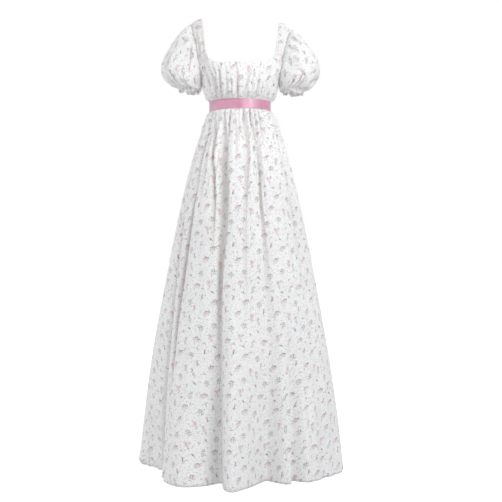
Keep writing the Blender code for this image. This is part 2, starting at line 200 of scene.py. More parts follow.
# %% Folds
# Angles at the waist, halfway and at the hem, the depths there, and the spread to each side
Fold = namedtuple("Fold", "waist_at middle_at hem_at waist middle hem left right")
FOLDS = table(
    Fold,
    (-66, -62, -74, 6, 19, 76, 20, 21), (-44, -35, -28, 0, -8, -34, 9, 6),
    (-24, -16.8, -12.1, 7, 20, 61, 5.4, 3), (-8, -5, -4, 0, -10, -58, 5, 7),
    (11, 6, 5, 5, 4, 0, 4, 4), (23, 20, 18.5, 8, 17, 80, 10.5, 5.5),
    (38, 36, 33.5, 3, 8, 54, 4, 3.5), (58, 56, 55, 5, 8, 14, 8, 8), (-50, -34, -22, 7, 4, 0, 5, 5),
    (-104, -107, -112, 0, -9, -28, 12, 12), (108, 106, 104, 6, 15, 48, 8, 7),
    (130, 128, 124, 6, 18, 55, 6, 8), (152, 150, 148, 5, 16, 50, 8, 6),
    (173, 172, 172, 7, 18, 58, 7, 7), (-166, -164, -163, 6, 14, 44, 6, 8),
    (-146, -143, -141, 6, 18, 56, 8, 6), (-127, -128, -130, 6, 12, 44, 7, 7),
    # Small folds between them
    (-76, -78, -84, 2, 4, 7, 4, 3), (-57, -50, -50, 2, 5, 6, 3, 4), (-15, -11, -8, 2, 3, 0, 2, 2),
    (3, 1, 0, 2, 3, 5, 2, 3), (30, 29, 27, 2, 4, 4, 2, 2), (49, 46, 43, 2, 4, 8, 2.5, 3),
    (70, 67, 66, 2, 4, 7, 3, 3), (82, 80, 78, 2, 3, 5, 3, 3), (98, 97, 95, 2, 4, 6, 3, 3),
    (119, 117, 114, 2, 4, 7, 2.5, 3), (141, 139, 137, 2, 4, 6, 3, 2.5),
    (162, 161, 160, 2, 3, 6, 3, 3), (-176, -175, -175, 2, 4, 5, 3, 2.5),
    (-155, -153, -152, 2, 4, 7, 3, 3), (-136, -135, -136, 2, 3, 6, 2.5, 3),
    (-115, -118, -121, 2, 4, 6, 3, 3),
)
FOLD_RELEASE = 0.055     # below the ribbon, where a fold reaches its depth
print("folds:", len(FOLDS))

# %% Narrow valleys
# Each by height from its foot to its top
Valley = namedtuple("Valley", "z at depth left right")
VALLEYS = {name: table(Valley, *valley) for name, valley in {
    "left deep": (
        (-1.42, -49, 8, 2.2, 1.4), (-0.99, -54, 12, 2.2, 1.4), (-0.78, -52.5, 12, 2.3, 1.5),
        (-0.62, -52.5, 12, 2.4, 1.6), (-0.545, -50.5, 11, 2.4, 1.7), (-0.489, -53, 10, 2.4, 1.8),
        (-0.449, -55, 9, 2.4, 1.8), (-0.400, -54.5, 8, 2.4, 1.8), (-0.346, -52.5, 8, 2.2, 1.6),
        (-0.305, -58, 6, 2.2, 1.6)),
    "left panel": (
        (-1.4475, -41, -11, 5.5, 9.0), (-1.20, -43.5, -11, 5.5, 8.5), (-1.00, -46, -6, 5.0, 7.0),
        (-0.88, -46, 0, 4.0, 6.0)),
    "left short": (
        (-0.80, -24, 0, 1.6, 1.3), (-0.66, -25, 6, 1.8, 1.4), (-0.579, -26.5, 8, 1.9, 1.5),
        (-0.52, -29.5, 9, 2.0, 1.6), (-0.48, -32.5, 9, 2.1, 1.7), (-0.44, -35.7, 9, 2.2, 1.8),
        (-0.40, -37.6, 8, 2.3, 1.8), (-0.334, -42.2, 7, 2.5, 2.0), (-0.305, -47.4, 4, 2.4, 1.9)),
    "centre left": (
        (-1.40, -10.4, 0, 2.4, 2.0), (-1.15, -12.2, 4, 2.4, 2.3), (-0.93, -15.0, 8, 2.4, 2.3),
        (-0.79, -15.6, 14, 3.1, 2.6), (-0.70, -15.0, 14, 3.9, 3.5), (-0.627, -15.2, 14, 4.5, 4.1),
        (-0.54, -16.5, 13, 5.0, 4.6), (-0.47, -19.4, 11, 5.4, 5.0), (-0.41, -21.4, 9, 4.6, 4.4),
        (-0.357, -24.5, 6, 3.4, 3.2), (-0.31, -28, 4, 2.6, 2.4)),
    "short": (
        (-0.50, -5.2, 0, 1.6, 1.4), (-0.43, -5.0, 4, 1.7, 1.4), (-0.354, -6.4, 6, 1.9, 1.5),
        (-0.31, -8.9, 3, 1.9, 1.5)),
    "centre": (
        (-1.02, 3.5, 0, 1.6, 1.6), (-0.775, 3.5, 4, 1.7, 1.6), (-0.606, 4.8, 5, 1.8, 1.6),
        (-0.54, 6.0, 6, 2.0, 1.7), (-0.43, 9.4, 7, 2.4, 1.9), (-0.344, 8.4, 6, 3.2, 2.6),
        (-0.31, 6.4, 3, 3.2, 2.6)),
    "centre right": (
        (-1.05, 20.5, 0, 2.2, 2.0), (-0.82, 21.3, 3, 2.2, 1.7), (-0.70, 21.5, 6, 1.9, 1.5),
        (-0.605, 20.7, 9, 1.8, 1.4), (-0.51, 21.8, 9, 1.8, 1.5), (-0.43, 21.6, 7, 1.9, 1.6),
        (-0.365, 19.2, 5, 2.0, 1.7), (-0.31, 17, 3, 2.0, 1.7)),
    "right": (
        (-0.90, 57, 0, 2.4, 2.2), (-0.624, 57.9, 6, 2.4, 2.0), (-0.535, 58.8, 6, 2.4, 2.0),
        (-0.458, 60.7, 6, 2.4, 2.0), (-0.384, 65, 5, 2.4, 2.0), (-0.31, 69.7, 3, 2.4, 2.0)),
    "far left": (
        (-1.42, -74, 8, 2.6, 2.4), (-1.22, -70, 10, 2.6, 2.2), (-0.925, -65, 10, 2.6, 2.0),
        (-0.78, -66, 9, 2.6, 2.0), (-0.70, -67, 8, 2.6, 2.0), (-0.576, -73.5, 5, 2.6, 2.0),
        (-0.45, -78, 0, 2.6, 2.0)),
    "back 1": (
        (-1.30, 128, 0, 2.2, 2.2), (-0.85, 129, 12, 2.4, 2.0), (-0.50, 130, 10, 2.6, 2.2),
        (-0.36, 127, 6, 2.4, 2.0), (-0.31, 125, 3, 2.2, 2.0)),
    "back 2": (
        (-0.95, 148, 0, 2.0, 2.0), (-0.62, 150, 8, 2.2, 1.8), (-0.42, 152, 7, 2.4, 2.0),
        (-0.31, 150, 3, 2.2, 2.0)),
    "back middle": (
        (-1.40, 173, 12, 2.0, 2.2), (-1.00, 172, 16, 2.4, 2.4), (-0.62, 174, 14, 3.2, 3.0),
        (-0.42, 177, 8, 3.4, 3.0), (-0.31, 178, 3, 2.6, 2.4)),
    "back 3": (
        (-0.70, -166, 0, 2.0, 1.8), (-0.47, -165, 7, 2.2, 1.8), (-0.35, -166, 5, 2.2, 1.8),
        (-0.31, -168, 3, 2.0, 1.8)),
    "back 4": (
        (-1.25, -142, 0, 2.2, 2.2), (-0.80, -143, 12, 2.4, 2.2), (-0.50, -145, 10, 2.6, 2.2),
        (-0.36, -147, 6, 2.6, 2.2), (-0.31, -148, 3, 2.4, 2.2)),
    "back 5": (
        (-0.85, -119, 0, 2.2, 2.0), (-0.58, -120, 7, 2.4, 2.0), (-0.40, -122, 6, 2.4, 2.0),
        (-0.31, -124, 3, 2.2, 2.0)),
    "back 6": (
        (-1.35, 104, 6, 2.4, 2.4), (-0.90, 106, 10, 2.4, 2.2), (-0.60, 107, 8, 2.4, 2.2),
        (-0.40, 104, 4, 2.4, 2.2), (-0.33, 103, 0, 2.4, 2.2)),
}.items()}
# Painted shade in each narrow valley: how far the cloth's colour there is mixed toward a warm grey
VALLEY_SHADE = {"centre left": 0.40, "left deep": 0.56, "left short": 0.50, "centre right": 0.62,
         "short": 0.45, "centre": 0.46, "right": 0.35, "far left": 0.25, "back middle": 0.40}
VALLEY_SHADE_USUAL = 0.3
VALLEY_SHADE_DEPTH = 9.0        # depth of a valley that has all of its share
print("valleys:", ", ".join(VALLEYS))

# %% Short tucks and gathers
Tuck = namedtuple("Tuck", "waist_at foot_at foot_z depth spread")
TUCKS = table(
    Tuck,
    (-83, -82, -0.47, 3.9, 2.2), (-72, -71, -0.60, 5.2, 2.5), (-58, -53, -0.43, 3.9, 2.0),
    (-37, -30, -0.56, 5.2, 2.2), (-31, -27, -0.41, 3.9, 1.6), (-18, -14, -0.49, 6.5, 1.8),
    (-4, -2, -0.43, 5.2, 1.7), (5, 3, -0.38, 3.9, 1.5), (16, 13, -0.42, 3.9, 1.6),
    (31, 29, -0.46, 5.2, 1.8), (46, 43, -0.62, 5.2, 2.2), (52, 50, -0.40, 3.9, 1.5),
    (66, 58, -0.48, 6.5, 2.0), (76, 74, -0.58, 5.2, 2.3), (85, 84, -0.42, 3.9, 1.8),
    (96, 97, -0.50, 3.9, 2.0), (115, 117, -0.44, 5.2, 1.8), (124, 125, -0.61, 5.2, 2.2),
    (137, 138, -0.41, 3.9, 1.6), (146, 147, -0.53, 5.2, 2.0), (160, 160, -0.43, 3.9, 1.7),
    (167, 166, -0.58, 5.2, 2.1), (181, 180, -0.40, 3.9, 1.6), (188, 187, -0.50, 5.2, 2.0),
    (203, 204, -0.62, 5.2, 2.2), (210, 211, -0.42, 3.9, 1.6), (222, 223, -0.48, 5.2, 1.9),
    (240, 241, -0.56, 5.2, 2.0), (249, 248, -0.42, 3.9, 1.7), (262, 262, -0.52, 3.9, 2.0),
)
Gather = namedtuple("Gather", "z height")
SKIRT_FULLNESS = table(
    Gather, (-0.85, 0.0), (-0.60, 1.8), (-0.45, 3.8), (-0.345, 4.8), (-0.318, 4.2),
    (-0.304, 2.8), (RIBBON_FOOT, CRUSHED))
SKIRT_PUCKERS = table(
    Gather, (-0.47, 0.0), (-0.37, 0.9), (-0.325, 1.5), (-0.304, 1.0), (RIBBON_FOOT, 0.3))
print("tucks:", len(TUCKS))

# %% [markdown]
# ## Adding up the folds
# Every fold is a soft hill across the cloth that wanders and deepens on its way down. The
# valleys have steep sides, and `layers` notes their places so that shade is painted into
# them. Loose cloth also has slow waves of its own.

# %% Depth of the folds
Course = namedtuple("Course", "share at depth")


def fold_depth(turn, z):
    """Add up how far the folds take the skirt in at each angle and height."""
    length = (RIBBON_FOOT - z) / (RIBBON_FOOT - HEM_Z)
    total = 0
    for fold in FOLDS:
        course = table(Course, (0.0, fold.waist_at, fold.waist),
                       (0.5, fold.middle_at, fold.middle), (1.0, fold.hem_at, fold.hem))
        away = between(turn, read(course, length, "at"))
        spread = np.where(away < 0, fold.left, fold.right)
        total = total + read(course, length, "depth") * hill(away, spread)
    return total * ease(0, FOLD_RELEASE, RIBBON_FOOT - z)


def tuck_depth(turn, z):
    """Add up how far the short tucks under the ribbon take the skirt in."""
    total = 0
    for tuck in TUCKS:
        share = np.clip((RIBBON_FOOT - z) / (RIBBON_FOOT - tuck.foot_z), 0, 1)
        away = between(turn, tuck.waist_at + (tuck.foot_at - tuck.waist_at) * share)
        run = ease(0, 0.15, share) * (1 - ease(0.35, 1, share))
        total = total + tuck.depth * run * hill(away, tuck.spread)
    return total


def valley_depth(turn, z, valleys):
    """Add up how far some narrow valleys take the cloth in."""
    total = 0
    for valley in valleys:
        away = between(turn, read(valley, z, "at"))
        spread = np.where(away < 0, read(valley, z, "left"), read(valley, z, "right"))
        total = total + read(valley, z, "depth") * hill(away, spread, 4)
    return total


def layers(turn, z):
    """Say how much shade is painted at each place, from the depths of the narrow valleys."""
    return sum(VALLEY_SHADE.get(name, VALLEY_SHADE_USUAL)
               * np.clip(valley_depth(turn, z, [valley]) / VALLEY_SHADE_DEPTH, 0, 1)
               for name, valley in VALLEYS.items())


def slack(turn, z):
    """Give the loose cloth of the lower skirt its slow, slightly slanting waves."""
    wave = waves(turn, (9, 160 * z, 1), (23, 50 - 310 * z, 1), (41, 110 + 420 * z, 0.6))
    return 1.1 * ease(-0.45, -0.95, z) * wave


def crumple(turn):
    """Crumple the hem at the gown's right side into small uneven waves."""
    return hill(between(turn, -97), 24, 4) * waves(turn, (58, 0, 1), (37, 80, 0.6))


# %% [markdown]
# ## Cloth from a grid
# A flat grid is the natural start for a panel, because cloth is a grid of threads. Each of
# its corners is moved to its place on the gown. The UV map is measured on the moved grid, in
# metres of cloth, before a tube's two long edges are merged. A pattern on it keeps its size
# wherever the cloth bends. Solidify then gives the thickness, and puts the wrong side of the
# print on the inner face.

# %% Sheet of cloth
CLOTH_MAP = "cloth"
SHADE_ATTRIBUTE = "layers"        # name of the attribute that carries the painted shade of the valleys and creases


def placed(name, data):
    """Put an object with its data into the scene."""
    item = bpy.data.objects.new(name, data)
    bpy.context.scene.collection.objects.link(item)
    return item


def finished(bm, name, materials):
    """Turn an edited mesh into a smooth object with its materials."""
    mesh = bpy.data.meshes.new(name)
    bm.to_mesh(mesh)
    bm.free()
    mesh.shade_smooth()
    for material in materials:
        mesh.materials.append(material)
    return placed(name, mesh)


def measured(points, middle, first, start):
    """Measure the cloth across from a middle column and along from a row, in metres."""
    across = np.linalg.norm(np.diff(points, axis=1), axis=-1).cumsum(axis=1)
    across = np.concatenate([np.zeros((len(points), 1)), across], axis=1)
    along = np.linalg.norm(np.diff(points, axis=0), axis=-1).cumsum(axis=0)
    along = np.concatenate([np.zeros((1, points.shape[1])), along], axis=0)
    across = across - across[:, middle:middle + 1]
    along = along - along[first:first + 1]
    return np.stack([across + start[0], along + start[1]], axis=-1)


def cloth(name, points, materials, painted_shade=None, first=0, start=(0, 0), closed=False, flip=False):
    """Make one sheet of cloth from its grid of points, whose rows run up the piece."""
    rows, columns = points.shape[0] - 1, points.shape[1] - 1
    lengths = measured(points, columns // 2, first, start)
    bm = bmesh.new()
    # Each point keeps its share of painted shade, which the cloth's colour reads
    tint = None if painted_shade is None else bm.verts.layers.float.new(SHADE_ATTRIBUTE)
    bmesh.ops.create_grid(bm, x_segments=columns, y_segments=rows, size=1.0)
    place = {}
    for vert in bm.verts:
        column = round((vert.co.x + 1) / 2 * columns)
        row = round((vert.co.y + 1) / 2 * rows)
        place[vert] = row, column
        vert.co = points[row, column]
        if tint:
            vert[tint] = painted_shade[row, column]
    uv = bm.loops.layers.uv.new(CLOTH_MAP)
    for face in bm.faces:
        for loop in face.loops:
            loop[uv].uv = lengths[place[loop.vert]]
    if closed:
        bmesh.ops.remove_doubles(bm, verts=bm.verts, dist=1e-5)
    if flip:
        bmesh.ops.reverse_faces(bm, faces=bm.faces)
    piece = finished(bm, name, materials)
    wall = piece.modifiers.new("Wall", "SOLIDIFY")
    wall.thickness = WALL
    wall.offset = -1.0
    wall.material_offset = len(materials) - 1
    area = sum(face.area for face in piece.data.polygons)
    print(f"{name}: {len(piece.data.polygons)} quads, {area:.3f} m2,"
          f" {np.ptp(lengths[0, :, 0]):.2f} to {np.ptp(lengths[-1, :, 0]):.2f} m wide,"
          f" {np.ptp(lengths[:, columns // 2, 1]):.2f} m long")
    return piece


# %% [markdown]
# ## Colours and nodes
# Colours are written as the sRGB hex values that a colour picker shows, and one function
# turns them to the linear values that light adds up in. One function adds a node, sets it and
# links it. A few short ones on top of it name the steps that come again and again, so a
# material reads as a list of its steps.

# %% Colour and node helpers


def linear(colour):
    """Turn an sRGB hex colour into the linear RGBA that a shader takes."""
    parts = [int(colour[i:i + 2], 16) / 255 for i in (1, 3, 5)]
    return [c / 12.92 if c <= 0.04045 else ((c + 0.055) / 1.055) ** 2.4 for c in parts] + [1.0]


def add(tree, kind, inputs=(), **settings):
    """Add a node with its settings; each input takes a value or the output it is linked to."""
    node = tree.nodes.new(kind)
    for name, value in settings.items():
        setattr(node, name, value)
    for socket, value in dict(inputs).items():
        if isinstance(value, bpy.types.NodeSocket):
            tree.links.new(value, node.inputs[socket])
        else:
            node.inputs[socket].default_value = value
    return node


def maths(tree, operation, *values, clamp=False):
    """Reckon with numbers and give the result."""
    return add(tree, "ShaderNodeMath", enumerate(values), operation=operation,
               use_clamp=clamp).outputs[0]


def vectors(tree, operation, *values):
    """Reckon with vectors and give the result."""
    node = add(tree, "ShaderNodeVectorMath", enumerate(values), operation=operation)
    return node.outputs["Value" if operation == "LENGTH" else "Vector"]


def spun(tree, vector, angle):
    """Turn a vector about the upright axis."""
    return add(tree, "ShaderNodeVectorRotate", {"Vector": vector, "Angle": angle},
               rotation_type="Z_AXIS").outputs[0]


def mix(tree, share, first, second):
    """Mix two colours."""
    return add(tree, "ShaderNodeMix", {0: share, 6: first, 7: second},
               data_type="RGBA").outputs[2]


def span(tree, value, low, high, first, last):
    """Carry a range of values over to another one, and stop at its ends."""
    return add(tree, "ShaderNodeMapRange",
               {0: value, 1: low, 2: high, 3: first, 4: last}).outputs[0]


def noise(tree, place, scale, detail=2.0, dimensions="2D"):
    """Give uneven values between 0 and 1."""
    return add(tree, "ShaderNodeTexNoise", {"Vector": place, "Scale": scale, "Detail": detail},
               noise_dimensions=dimensions).outputs[0]


def start_material(name, constants):
    """Start a material; give it, its node tree and its shader's inputs with their constants."""
    material = bpy.data.materials.new(name)
    material.use_nodes = True
    shader = material.node_tree.nodes["Principled BSDF"].inputs
    for socket, value in constants.items():
        shader[socket].default_value = value
    return material, material.node_tree, shader


def raised(tree, height, strength):
    """Let a pattern raise a relief of a tenth of a millimetre."""
    return add(tree, "ShaderNodeBump",
               {"Strength": strength, "Distance": 0.0001, "Height": height}).outputs[0]


# %% [markdown]
# ## The flower print
# The lawn is roller printed with small scattered flowers: pink roses, carnations and buds,
# with grey clusters of leaves, sprays and sprigs between them. An image would do, but strokes
# drawn by nodes stay sharp at any distance. Each motif is a short list of oval brush strokes
# in millimetres, ink by ink: where the stroke lies, how it is turned, half its length and
# half its width. Each motif has its places in a repeat of 129 by 164 mm. Every place is
# wrapped to the repeat, so a motif may cross its border.

# %% Motifs
REPEAT = (129.0, 164.0)          # mm, across and along the cloth
DRAWN = 1.15                     # size of the motifs against their lists of strokes
MOTIFS = {
    "rose": {
        "leaf": ((-8.4, -3.6, 28, 2.6, 0.9), (-7.8, 1.6, -24, 2.2, 1.0),
                 (9.0, 1.8, -38, 2.0, 0.9)),
        "grey": ((-4.8, -6.8, 82, 2.0, 0.8),),
        "rose": ((-3.4, 3.8, 18, 2.6, 1.2), (4.6, -1.6, 66, 1.8, 1.0), (0.2, -3.4, 20, 1.9, 0.9)),
        "dark": ((0.2, 6.6, 26, 2.4, 1.2), (4.6, 5.0, -12, 2.2, 1.5), (8.4, 6.2, 44, 1.6, 1.1)),
        "pink": ((-2.4, 0.4, 40, 2.8, 1.7), (2.2, 1.8, 8, 3.2, 1.6)),
    },
    "carnation": {
        "pink": ((-4.4, 5.6, 122, 2.8, 1.3), (2.2, 7.0, 78, 2.8, 1.3), (5.0, 4.4, 48, 2.4, 1.1),
                 (-3.2, -0.6, 60, 2.6, 1.1), (3.4, -1.0, 118, 2.6, 1.1)),
        "rose": ((-1.2, 7.2, 98, 2.4, 1.0), (0.4, 2.6, 88, 2.4, 1.5), (0.2, -3.4, 90, 2.4, 0.9)),
        "leaf": ((0.6, -8.4, 84, 3.2, 0.7), (3.6, -7.0, 40, 2.2, 0.9)),
    },
    "bud": {
        "pink": ((1.6, 5.0, 62, 3.0, 1.4), (-1.6, 5.4, 112, 2.6, 1.2)),
        "rose": ((0.2, 3.4, 88, 1.8, 1.0),),
        "dark": ((-0.6, -1.0, 80, 3.6, 1.4),),
        "leaf": ((-1.6, -5.6, 70, 2.4, 0.8), (3.4, -2.4, 36, 2.4, 0.8)),
    },
    "seed": {
        "dark": ((0.4, -0.6, -34, 2.6, 1.6),),
        "rose": ((1.8, 1.6, 20, 1.6, 0.9),),
        "grey": ((-2.8, 2.8, 138, 2.6, 0.9), (3.2, -3.6, 118, 2.0, 0.8)),
    },
    "leaves": {
        "leaf": ((1.6, 5.8, -22, 2.6, 1.6), (-2.4, 0.6, -34, 2.6, 1.5), (1.4, -3.8, 68, 2.8, 1.2)),
        "grey": ((-3.6, 5.0, 12, 2.4, 1.1), (-6.6, 0.8, 40, 1.8, 1.1), (-4.8, -4.8, 6, 2.2, 1.0),
                 (6.2, -2.0, -28, 2.2, 1.2), (6.8, 4.0, 72, 1.5, 1.0), (-0.8, -8.2, 24, 1.8, 0.9)),
        "dark": ((2.8, 1.8, 34, 2.2, 1.1),),
    },
    "spray": {
        "grey": ((-2.6, -8.6, 78, 3.2, 0.8), (-3.0, -2.6, 96, 3.2, 0.8), (1.6, -1.0, 50, 2.6, 1.0),
                 (-1.6, 3.6, 68, 3.0, 0.8), (0.8, 8.8, 50, 2.6, 0.9)),
        "leaf": ((1.0, -6.2, 60, 2.2, 1.1), (2.4, 5.0, 24, 2.4, 1.2)),
        "dark": ((4.8, 8.0, -40, 1.8, 1.0),),
    },
    "sprig": {
        "leaf": ((0.0, 0.6, 62, 3.4, 0.9),),
        "grey": ((-2.4, -3.0, 56, 2.4, 0.7), (3.0, -1.4, 20, 1.8, 0.8)),
    },
}
# Across and along the repeat, and turned by so many degrees
PLACES = {
    "rose": ((18, 15, 4), (84, 58, -14), (121, 142, 14)),
    "carnation": ((127, 70, 6), (38, 134, -8)),
    "bud": ((106, 26, -6), (79, 153, 10)),
    "seed": ((60, 92, 0), (10, 45, 24)),
    "leaves": ((63, 9, 8), (13, 108, -12), (99, 96, 10)),
    "spray": ((42, 54, -10), (62, 121, 30)),
    "sprig": ((38, 30, 0), (82, 33, 70), (108, 52, -30), (36, 82, 30), (96, 124, 130), (8, 79, 20)),
}
INKS = {                         # in the order in which they are printed
    "speck": "#AEB0B0",          # fine dashes between the motifs
    "grey": "#909291",           # leaves, sprays and sprigs
    "leaf": "#878881",           # stems and leaves of the flowers
    "pink": "#D8AAB5",           # petals
    "dark": "#57454A",           # calyxes and dark leaves
    "rose": "#B77B8B",           # hearts of the flowers
}
print("motifs a repeat:", sum(len(places) for places in PLACES.values()))

# %% [markdown]
# ## Drawing the strokes
# For each motif the nodes keep the nearest of its places, and turn the cloth's position to
# that motif's own axes. Each stroke squeezes these axes until its oval is a circle of radius
# 1. The smallest of these lengths, ink by ink, is the drawing. It is made once, as a node
# group that the right and the wrong side of the cloth share.


# %% Nearest place of a motif
def nearest_place(tree, cloth_mm, places):
    """Give the position on the cloth in the axes of the nearest of some places."""
    near = far = None
    half = (REPEAT[0] / 2, REPEAT[1] / 2, 1.0)
    for x, y, turn in places:
        moved = vectors(tree, "SUBTRACT", cloth_mm, (x, y, 0))
        moved = vectors(tree, "WRAP", moved, half, [-v for v in half])
        length = vectors(tree, "LENGTH", moved)
        turned = spun(tree, moved, np.radians(-turn))
        if near is None:
            near, far = turned, length
            continue
        closer = maths(tree, "LESS_THAN", length, far)
        near = add(tree, "ShaderNodeMix", {0: closer, 4: near, 5: turned},
                   data_type="VECTOR").outputs[1]
        far = maths(tree, "MINIMUM", length, far)
    return near


# %% Strokes
def join(tree, drawn, ink, edge):
    """Add one shape to the drawing of its ink."""
    drawn[ink] = maths(tree, "MINIMUM", edge, drawn[ink]) if ink in drawn else edge


def brushed(tree, near, motif, drawn):
    """Add the strokes of one motif to the drawing of each ink."""
    for ink, strokes in motif.items():
        for x, y, turn, long, wide in strokes:
            oval = add(tree, "ShaderNodeMapping",
                       {"Vector": near, "Location": (x * DRAWN, y * DRAWN, 0),
                        "Rotation": (0, 0, np.radians(turn)),
                        "Scale": (long * DRAWN, wide * DRAWN, 1)}, vector_type="TEXTURE")
            join(tree, drawn, ink, vectors(tree, "LENGTH", oval.outputs[0]))


# %% Scattered dashes
Fleck = namedtuple("Fleck", "ink apart long wide share")
FLECKS = table(Fleck, ("speck", 6.8, 1.7, 0.9, 0.8), ("leaf", 19.0, 2.6, 0.8, 0.65),
               ("pink", 33.0, 2.0, 1.0, 0.45))
LEFT_OUT = 9.0                   # far outside every stroke


def scattered(tree, cloth_mm, fleck):
    """Draw one short dash in most cells of an uneven net, each turned its own way."""
    net = vectors(tree, "MULTIPLY", cloth_mm, [1 / fleck.apart] * 3)
    cell = add(tree, "ShaderNodeTexVoronoi", {"Vector": net, "Scale": 1.0, "Randomness": 1.0},
               voronoi_dimensions="2D")
    chance = add(tree, "ShaderNodeSeparateColor", {0: cell.outputs["Color"]})
    middle = vectors(tree, "SUBTRACT", net, cell.outputs["Position"])
    turned = spun(tree, middle, maths(tree, "MULTIPLY", chance.outputs[0], np.pi))
    oval = vectors(tree, "MULTIPLY", turned,
                   (fleck.apart / fleck.long, fleck.apart / fleck.wide, 0))
    left_out = maths(tree, "GREATER_THAN", chance.outputs[1], fleck.share)
    return maths(tree, "MULTIPLY_ADD", left_out, LEFT_OUT, vectors(tree, "LENGTH", oval))


# %% The print
STROKE_EDGE = (0.75, 1.2)        # where a stroke of radius 1 starts and ends to fade
PATCHES = 0.35                   # scale of the places that took the ink thinly
WELL_PRINTED = 1.8               # above 1, so that only a few places are thin


def make_print():
    """Make the group that colours cotton at a position on the cloth, in metres."""
    tree = bpy.data.node_groups.new("Flower print", "ShaderNodeTree")
    for name, way, kind in (("Cloth", "INPUT", "Vector"), ("Ground", "INPUT", "Color"),
                            ("Strength", "INPUT", "Float"), ("Colour", "OUTPUT", "Color")):
        tree.interface.new_socket(name, in_out=way, socket_type=f"NodeSocket{kind}")
    given = add(tree, "NodeGroupInput").outputs
    cloth_mm = vectors(tree, "MULTIPLY", given["Cloth"], [1 / MM] * 3)
    drawn = {}
    for name, motif in MOTIFS.items():
        brushed(tree, nearest_place(tree, cloth_mm, PLACES[name]), motif, drawn)
    for fleck in FLECKS:
        join(tree, drawn, fleck.ink, scattered(tree, cloth_mm, fleck))
    strength = maths(tree, "MULTIPLY", noise(tree, cloth_mm, PATCHES), given["Strength"])
    strength = maths(tree, "MULTIPLY", strength, WELL_PRINTED, clamp=True)
    colour = given["Ground"]
    for ink, tone in INKS.items():
        cover = maths(tree, "MULTIPLY", span(tree, drawn[ink], *STROKE_EDGE, 1.0, 0.0), strength)
        colour = mix(tree, cover, colour, linear(tone))
    add(tree, "NodeGroupOutput", {"Colour": colour})
    print("print nodes:", len(tree.nodes))
    return tree


flower_print = make_print()

# %% [markdown]
# ## Cotton lawn
# Lawn is a fine plain weave of combed cotton, about 36 threads to the centimetre. Its fibres
# scatter light, so it looks matt with a faint soft sheen and has almost no highlight. The
# ground is a cool white. Real threads are 0.28 mm apart, too fine to show, so the weave is
# drawn 0.9 mm apart, as a very low bump. Shade is painted into the narrow valleys and creases:
# there the ground is mixed toward a warm grey.

# %% Cotton materials
THREADS = 0.0009         # metres between the drawn threads
WAVE_BANDS = 20          # a wave texture of scale 1 has a band every 2 pi / 20 metres


def make_lawn(name, ground, strength):
    """Make printed lawn with a ground colour and a share of the print's strength."""
    material, tree, shader = start_material(name, {
        "Roughness": 0.92, "Specular IOR Level": 0.25, "Sheen Weight": 0.12,
        "Sheen Roughness": 0.6})
    uv = add(tree, "ShaderNodeUVMap", uv_map=CLOTH_MAP).outputs[0]
    clouds = span(tree, noise(tree, uv, 9.0, detail=3.0), 0.3, 0.7, 0.0, 0.5)
    white = mix(tree, clouds, linear(ground), linear("#E9EAEA"))
    # Painted shade: in the marked valleys and creases the ground is mixed toward a warm grey
    # #BBB1AA
    painted_shade = add(tree, "ShaderNodeAttribute", attribute_name=SHADE_ATTRIBUTE).outputs["Fac"]
    printed = add(tree, "ShaderNodeGroup",
                  {"Cloth": uv, "Ground": mix(tree, painted_shade, white, linear("#BBB1AA")),
                   "Strength": strength}, node_tree=flower_print)
    tree.links.new(printed.outputs["Colour"], shader["Base Color"])
    weave = [add(tree, "ShaderNodeTexWave",
                 {"Vector": uv, "Scale": 2 * np.pi / (WAVE_BANDS * THREADS), "Distortion": 0.6,
                  "Detail": 1.0}, bands_direction=direction).outputs["Fac"]
             for direction in "XY"]
    tree.links.new(raised(tree, maths(tree, "ADD", *weave), 0.25), shader["Normal"])
    return material


lawns = (make_lawn("Printed cotton lawn", "#F3F3F3", 1.0),
         make_lawn("Printed cotton lawn, wrong side", "#F1F1F3", 0.4))
print("materials:", " and ".join(material.name for material in lawns))

# %% [markdown]
# ## The skirt panels
# Each panel runs from side seam to side seam. Rows of the grid lie closer together near the
# waist, where the gathers need them. The cloth is measured from the centre of the waist seam,
# so the print hangs on the straight grain down the middle, and the seams cut across it at the
# sides, as on a flared panel. The gathers calm down beside the seams, so that the two panels
# meet there.

# %% Skirt
SKIRT_COLUMNS = 320
SKIRT_ROWS = np.concatenate([np.linspace(HEM_Z, -0.46, 96)[:-1],
                             np.linspace(-0.46, RIBBON_FOOT, 50), [WAIST_Z]])
GATHERS = 15             # to a panel, with the small puckers between them
PUCKERS = 41
HEM_CRUMPLE = 7.0        # how far the crumpled part of the hem waves out
HEM_RISE = 0.004         # how far it rises


